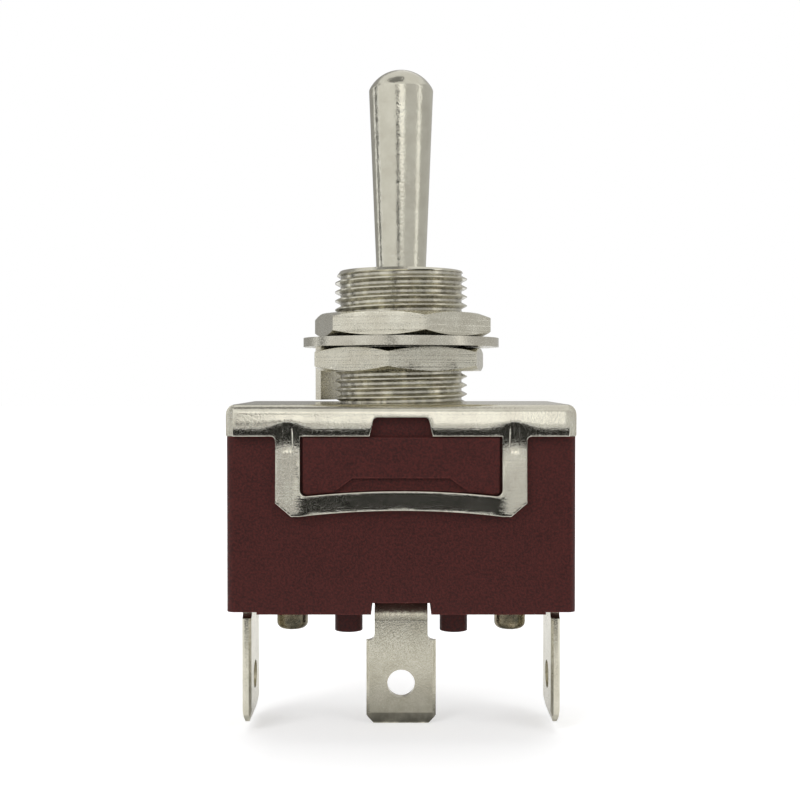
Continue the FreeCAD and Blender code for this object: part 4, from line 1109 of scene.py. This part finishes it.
@dataclass
class FoldedFrame:
    """Frame folded from one sheet: a plate, four flanges, and a loop on pressed straps front and back.

    The sheet is drawn flat, as x and y on the plate and as lengths along the outer face beyond the bends.
    Its inner points lie in bands, each (first, end, step) in millimetres.
    """

    role: Role = Role("frame", "base", "frame", "frame_nickel", 40.0)
    half_length: float = 14.85 * MM
    half_width: float = 8.2 * MM
    side_half: float = 14.15 * MM
    end_half: float = 7.25 * MM
    top: float = 29.1 * MM
    sheet: float = 0.7 * MM
    bend: float = 0.85 * MM
    flange_bottom: float = 26.4 * MM
    loop_half: float = 10.6 * MM
    loop_bottom: float = 19.65 * MM
    flare: float = 0.35 * MM
    chamfer_width: float = 1.35 * MM
    chamfer_height: float = 1.15 * MM
    window_half: float = 8.5 * MM
    window_round: float = 0.5 * MM
    bow_level: float = -52.6 * MM
    bow_steps: int = 20
    bar_low: float = 72.75 * MM
    bar_high: float = 74.45 * MM
    bar_lean: float = 0.26 * MM
    bar_foot: float = -0.02 * MM
    bar_end: Point = (9.3 * MM, 1.8 * MM)
    bar_rise: Point = (25.0 * MM, 3.4 * MM)
    notch_half: float = 2.65 * MM
    notch_top_half: float = 2.35 * MM
    notch_top: float = 28.0 * MM
    notch_round: float = 0.35 * MM
    hole: float = 5.25 * MM
    rib_place: float = 9.55 * MM
    rib_half: float = 0.465 * MM
    rib_foot: Point = (25.05 * MM, 0.25 * MM)
    rib_head: Point = (28.2 * MM, 1.8 * MM)
    rib_depth: float = 0.08 * MM
    rib_line: float = 0.02 * MM
    rib_clear: float = 1.35
    rib_spread: float = 1.25
    rib_step: float = 0.125
    strap_lift: float = 0.6 * MM
    strap_reach: float = 2.4 * MM
    strap_fade: float = 0.9 * MM
    edge_round: float = 0.09 * MM
    edge_step: float = 0.25 * MM
    hole_step: float = 0.6 * MM
    clear_of_edge: float = 0.13 * MM
    slopes: tuple[Point, ...] = (
        (0.0, 0.17), (0.6, 0.15), (1.0, 0.0), (1.4, -0.15), (1.85, -0.22), (2.4, -0.15), (3.0, -0.08),
        (3.4, 0.0), (4.2, 0.04), (9.0, 0.04))
    side_bands: tuple[Band, ...] = ((0.0, 8.4, 0.4), (8.5, 10.7, 0.2), (10.9, 14.2, 0.4))
    plate_band: Band = (0.0, 7.35, 1.2)
    bend_band: Band = (0.0, 1.4, 0.11)
    flange_band: Band = (28.15, 19.6, -0.2)
    end_bands: tuple[Band, ...] = ((0.11, 1.4, 0.11), (1.6, 3.3, 0.4))
    end_across: Band = (-7.0, 7.1, 0.5)

    def bow(self, x: float, radius: float) -> float:
        """Find the height of the bowed bar's edge of a radius."""
        return self.bow_level + math.sqrt(radius ** 2 - x ** 2)

    def unfold(self, height: float) -> float:
        """Find how far a height on the front flange lies from the plate's middle, along the sheet."""
        return self.half_width + self.bend * (QUARTER_TURN - 2.0) + self.top - height

    def side_outline(self) -> list[Point]:
        """Trace the lower edge of a side flange with its loop, from the middle to its right end.

        Returns:
            Points (x, height), in metres.
        """
        places = [self.window_half * i / self.bow_steps for i in range(self.bow_steps + 1)]
        return [*((x, self.bow(x, self.bar_low)) for x in places),
                (self.loop_half - self.chamfer_width, self.loop_bottom),
                (self.loop_half, self.loop_bottom + self.chamfer_height),
                *arc_points((self.loop_half + self.flare, self.flange_bottom - self.flare), self.flare,
                            180.0, 90.0, 6),
                (self.side_half, self.flange_bottom)]

    def window_outline(self) -> list[Point]:
        """Trace half of the loop's window, from the middle of the bar round to the middle of the notch.

        Returns:
            Points (x, height), in metres.
        """
        corner = self.window_half - self.window_round
        places = [corner * i / self.bow_steps for i in range(self.bow_steps + 1)]
        return [*((x, self.bow(x, self.bar_high)) for x in places),
                *arc_points((corner, self.bow(corner, self.bar_high) + self.window_round), self.window_round,
                            -90.0, 0.0, 7)[1:],
                (self.window_half, self.flange_bottom), (self.notch_half, self.flange_bottom),
                *arc_points((self.notch_top_half - self.notch_round, self.notch_top - self.notch_round),
                            self.notch_round, 10.0, 90.0, 6),
                (0.0, self.notch_top)]

    def outlines(self) -> list[tuple[np.ndarray, bool]]:
        """Lay out the flat sheet's edge, its two windows and its hole.

        Returns:
            Each outline in short steps, with True for the sheet's edge.
        """
        side, window = self.side_outline(), self.window_outline()
        front = [(-x, -self.unfold(z)) for x, z in reversed(side)] + [(x, -self.unfold(z)) for x, z in side[1:]]
        reach = self.half_length + self.bend * (QUARTER_TURN - 2.0) + self.top - self.flange_bottom
        right = [(self.side_half, -self.end_half), (reach, -self.end_half),
                 (reach, self.end_half), (self.side_half, self.end_half)]
        edge = front + right + [(-x, -y) for x, y in front + right]
        hole = arc_points((0.0, 0.0), self.hole, 0.0, 360.0, 60)[:-1]
        loops = [(even_steps(edge, self.edge_step), True), (even_steps(hole, self.hole_step), False)]
        for turn in (-1.0, 1.0):
            ring = [(x, turn * self.unfold(z)) for x, z in window]
            ring += [(-x, y) for x, y in reversed(ring[1:-1])]
            loops.append((even_steps(ring, self.edge_step), False))
        return loops

    def lattice(self) -> np.ndarray:
        """Lay out the flat sheet's inner points, closer together in the bends, on the straps and on the ribs.

        Returns:
            The points, one per row.
        """
        across = np.concatenate([np.arange(*band) for band in self.side_bands]) * MM
        across = across[np.abs(across - self.rib_place) > self.rib_half * self.rib_clear]
        rib = np.arange(-self.rib_spread, self.rib_spread + 0.01, self.rib_step) * self.rib_half
        across = np.concatenate((across, self.rib_place + rib))
        along = np.concatenate((np.arange(*self.plate_band) * MM,
                                self.half_width - self.bend + np.arange(*self.bend_band) * MM,
                                self.unfold(np.arange(*self.flange_band) * MM)))
        start = self.half_length - self.bend
        ends = start + np.concatenate([np.arange(*band) for band in self.end_bands]) * MM
        grids = []
        for x, y in ((np.unique((-across, across)), np.unique((-along, along))),
                     (np.concatenate((-ends, ends)), np.arange(*self.end_across) * MM)):
            grids.append(np.stack(np.meshgrid(x, y), axis=-1).reshape(-1, 2))
        sides = grids[0]
        kept = (np.abs(sides[:, 1]) > self.end_half) | (np.abs(sides[:, 0]) < start)
        return np.concatenate((sides[kept], grids[1]))

    def bulge(self, x: float, height: float) -> float:
        """Find how far a side flange, its strap or its bar stands out from the flat of the flange.

        Args:
            x: The place along the flange.
            height: The height above the floor.

        Returns:
            The distance outwards, in metres.
        """
        under = self.top - self.bend - height
        if under <= 0.0:
            return 0.0
        from_rib = abs(x) - self.rib_place
        under += self.strap_lift * ease(1.0 - abs(from_rib) / self.strap_reach) * ease(under / self.strap_fade)
        out = 0.0
        for (start, first), (end, last) in zip(self.slopes, self.slopes[1:]):
            part = clamp((under / MM - start) / (end - start))
            out += MM * (end - start) * part * (first + (last - first) * part / 2.0)
        lean = (math.hypot(x, height - self.bow_level) - self.bar_low) / (self.bar_high - self.bar_low)
        bar = (ease((self.bar_end[0] - abs(x)) / self.bar_end[1])
               * ease((self.bar_rise[0] - height) / self.bar_rise[1]))
        out += (self.bar_foot + self.bar_lean * clamp(lean) - out) * bar
        part = from_rib / self.rib_half
        if abs(part) < 1.0:
            ends = (ease((height - self.rib_foot[0]) / self.rib_foot[1])
                    * ease((self.rib_head[0] - height) / self.rib_head[1]))
            out -= ends * (self.rib_depth * (1.0 - part ** 4) + self.rib_line * math.cos(3.0 * math.pi * part))
        return out

    def fold(self, place: float, half: float, depth: float) -> Point:
        """Fold one direction of the flat sheet down over its bend.

        Args:
            place: The place in that direction, on the flat sheet.
            half: Where the outer face of the flange stands.
            depth: The depth below the outer face.

        Returns:
            The place in that direction and the height.
        """
        turn = half - self.bend
        run = abs(place) - turn
        if run <= 0.0:
            return place, self.top - depth
        angle, radius = run / self.bend, self.bend - depth
        if angle < QUARTER_TURN:
            return (math.copysign(turn + radius * math.sin(angle), place),
                    self.top - self.bend + radius * math.cos(angle))
        return math.copysign(half - depth, place), self.top - self.bend * (1.0 - QUARTER_TURN) - run

    def place(self, across: float, along: float, depth: float) -> Corner:
        """Find where a point of the flat sheet lies on the folded frame.

        Args:
            across: Its x on the flat sheet.
            along: Its y on the flat sheet.
            depth: The depth below the outer face.

        Returns:
            The corner.
        """
        if abs(along) > self.end_half:
            y, z = self.fold(along, self.half_width, depth)
            return across, y + self.bulge(across, z) * math.copysign(1.0, y), z
        x, z = self.fold(across, self.half_length, depth)
        return x, along, z

    def flat_mesh(self, loops: Sequence[np.ndarray],
                  rims: Sequence[np.ndarray]) -> tuple[np.ndarray, list[tuple[int, ...]], list[list[int]]]:
        """Mesh the flat sheet between its rims.

        Args:
            loops: The outlines.
            rims: The same outlines, moved into the sheet by the round of the edges.

        Returns:
            The corners, the faces, and the numbers of each rim's corners.
        """
        points = self.lattice()
        points = points[lies_on_sheet(points, rims)]
        edge = np.concatenate([np.concatenate(pair) for pair in zip(loops, rims)])
        nearest = np.array([np.min(np.sum((edge - point) ** 2, axis=1)) for point in points])
        flat = np.concatenate((*rims, points[nearest > self.clear_of_edge ** 2])) / MM
        edges, firsts = [], []
        for rim in rims:
            first = len(edges)
            firsts.append(first)
            edges += [(first + i, first + (i + 1) % len(rim)) for i in range(len(rim))]
        corners, _, faces, sources, _, _ = delaunay_2d_cdt([Vector(p) for p in flat], edges, [], 0, 1e-6)
        corners = np.array([tuple(corner) for corner in corners]) * MM
        found = {source: index for index, group in enumerate(sources) for source in group}
        kept = lies_on_sheet(np.array([corners[list(face)].mean(axis=0) for face in faces]), rims)
        return (corners, [tuple(face) for face, keep in zip(faces, kept) if keep],
                [[found[first + i] for i in range(len(rim))] for first, rim in zip(firsts, rims)])

    def build(self, materials: Materials) -> None:
        """Mesh the flat sheet, give it its thickness and rounded edges, fold it and finish it.

        Args:
            materials: The finishes by name.
        """
        loops, moves = [], []
        for loop, into in self.outlines():
            loops.append(loop)
            moves.append(inset(loop, into) * self.edge_round)
        corners, upper, rows = self.flat_mesh(loops, [loop + move for loop, move in zip(loops, moves)])
        count = len(corners)
        verts = [self.place(x, y, depth) for depth in (0.0, self.sheet) for x, y in corners]
        faces = upper + [tuple(count + i for i in reversed(face)) for face in upper]
        for loop, move, row in zip(loops, moves, rows):
            strips = [row]
            for degrees, low in ((60, False), (30, False), (0, False), (0, True), (30, True), (60, True)):
                turn = math.radians(degrees)
                depth = self.edge_round * (1.0 - math.sin(turn))
                depth = self.sheet - depth if low else depth
                strips.append([len(verts) + i for i in range(len(loop))])
                verts += [self.place(x, y, depth) for x, y in loop + move * (1.0 - math.cos(turn))]
            strips.append([count + index for index in row])
            for high, low in zip(strips, strips[1:]):
                faces += [(high[i - 1], high[i], low[i], low[i - 1]) for i in range(len(loop))]
        self.role.give(make_solid("folded_frame", verts, faces), materials)


@dataclass
class SolidParts:
    """The pieces whose solids already have their full shape: each gets its finish and soft edges."""

    finishes: dict[str, tuple[str, ...]] = field(default_factory=lambda: {
        "washer_steel": ("locking_washer",), "maroon_phenolic": ("housing",),
        "tab_nickel": ("terminal_left", "terminal_center", "terminal_right"),
        "rivet_metal": ("rivet_left", "rivet_right", "rivet_center"),
        "spring_wire": ("pivot_pin", "plunger_spring"), "white_nylon": ("plunger",),
        "bare_brass": ("rocker", "rocker_cradle"), "pressed_fibre": ("insulator",),
        "contact_silver": ("moving_contact_left", "moving_contact_right", "fixed_contact_left",
                           "fixed_contact_right")})
    edges: dict[str, float] = field(default_factory=lambda: {
        "maroon_phenolic": 0.1 * MM, "washer_steel": 0.06 * MM, "tab_nickel": 0.05 * MM})

    def build(self, materials: Materials) -> None:
        """Give every kept solid its finish, and the outer ones softened edges.

        Args:
            materials: The finishes by name.
        """
        for finish, names in self.finishes.items():
            for name in names:
                node = NODES[name]
                dress(node, materials[finish])
                if finish in self.edges:
                    bevel = node.modifiers.new("soft_edges", "BEVEL")
                    bevel.width = self.edges[finish]
                    bevel.segments = 2
                    bevel.limit_method = "ANGLE"
                    bevel.angle_limit = math.radians(35.0)
                    bevel.harden_normals = True


@dataclass
class ToggleSwitch:
    """The whole switch."""

    parts: list[object] = field(default_factory=lambda: [
        Lever(), Bushing(), FoldedFrame(),
        Nut("lower_hex_nut", "lower_nut", 31.95 * MM, 22.3),
        Nut("upper_hex_nut", "upper_nut", 35.0 * MM, 44.6),
        SolidParts()])

    def build(self) -> None:
        """Build the finishes, then every sub-assembly."""
        effects = Effects()
        materials = {finish.name: finish.build(effects) for finish in FINISHES}
        for part in self.parts:
            part.build(materials)
            LOG.info("built %s", type(part).__name__)


def as_lists(bounds: object) -> object:
    """Turn bounds into plain lists of numbers.


    Returns:
        The same, with lists for its vectors.
    """
    if isinstance(bounds, dict):
        return {key: as_lists(value) for key, value in bounds.items()}
    if isinstance(bounds, (int, float, str)) or bounds is None:
        return bounds
    return [as_lists(value) for value in bounds]


def main() -> None:
    """Build the dressed switch and its studio."""
    logging.basicConfig(level=logging.INFO)
    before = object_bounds()
    ToggleSwitch().build()
    Studio().build()
    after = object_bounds()
    {"loaded": as_lists(before), "finished": as_lists(after)}


if __name__ == "__main__":
    main()
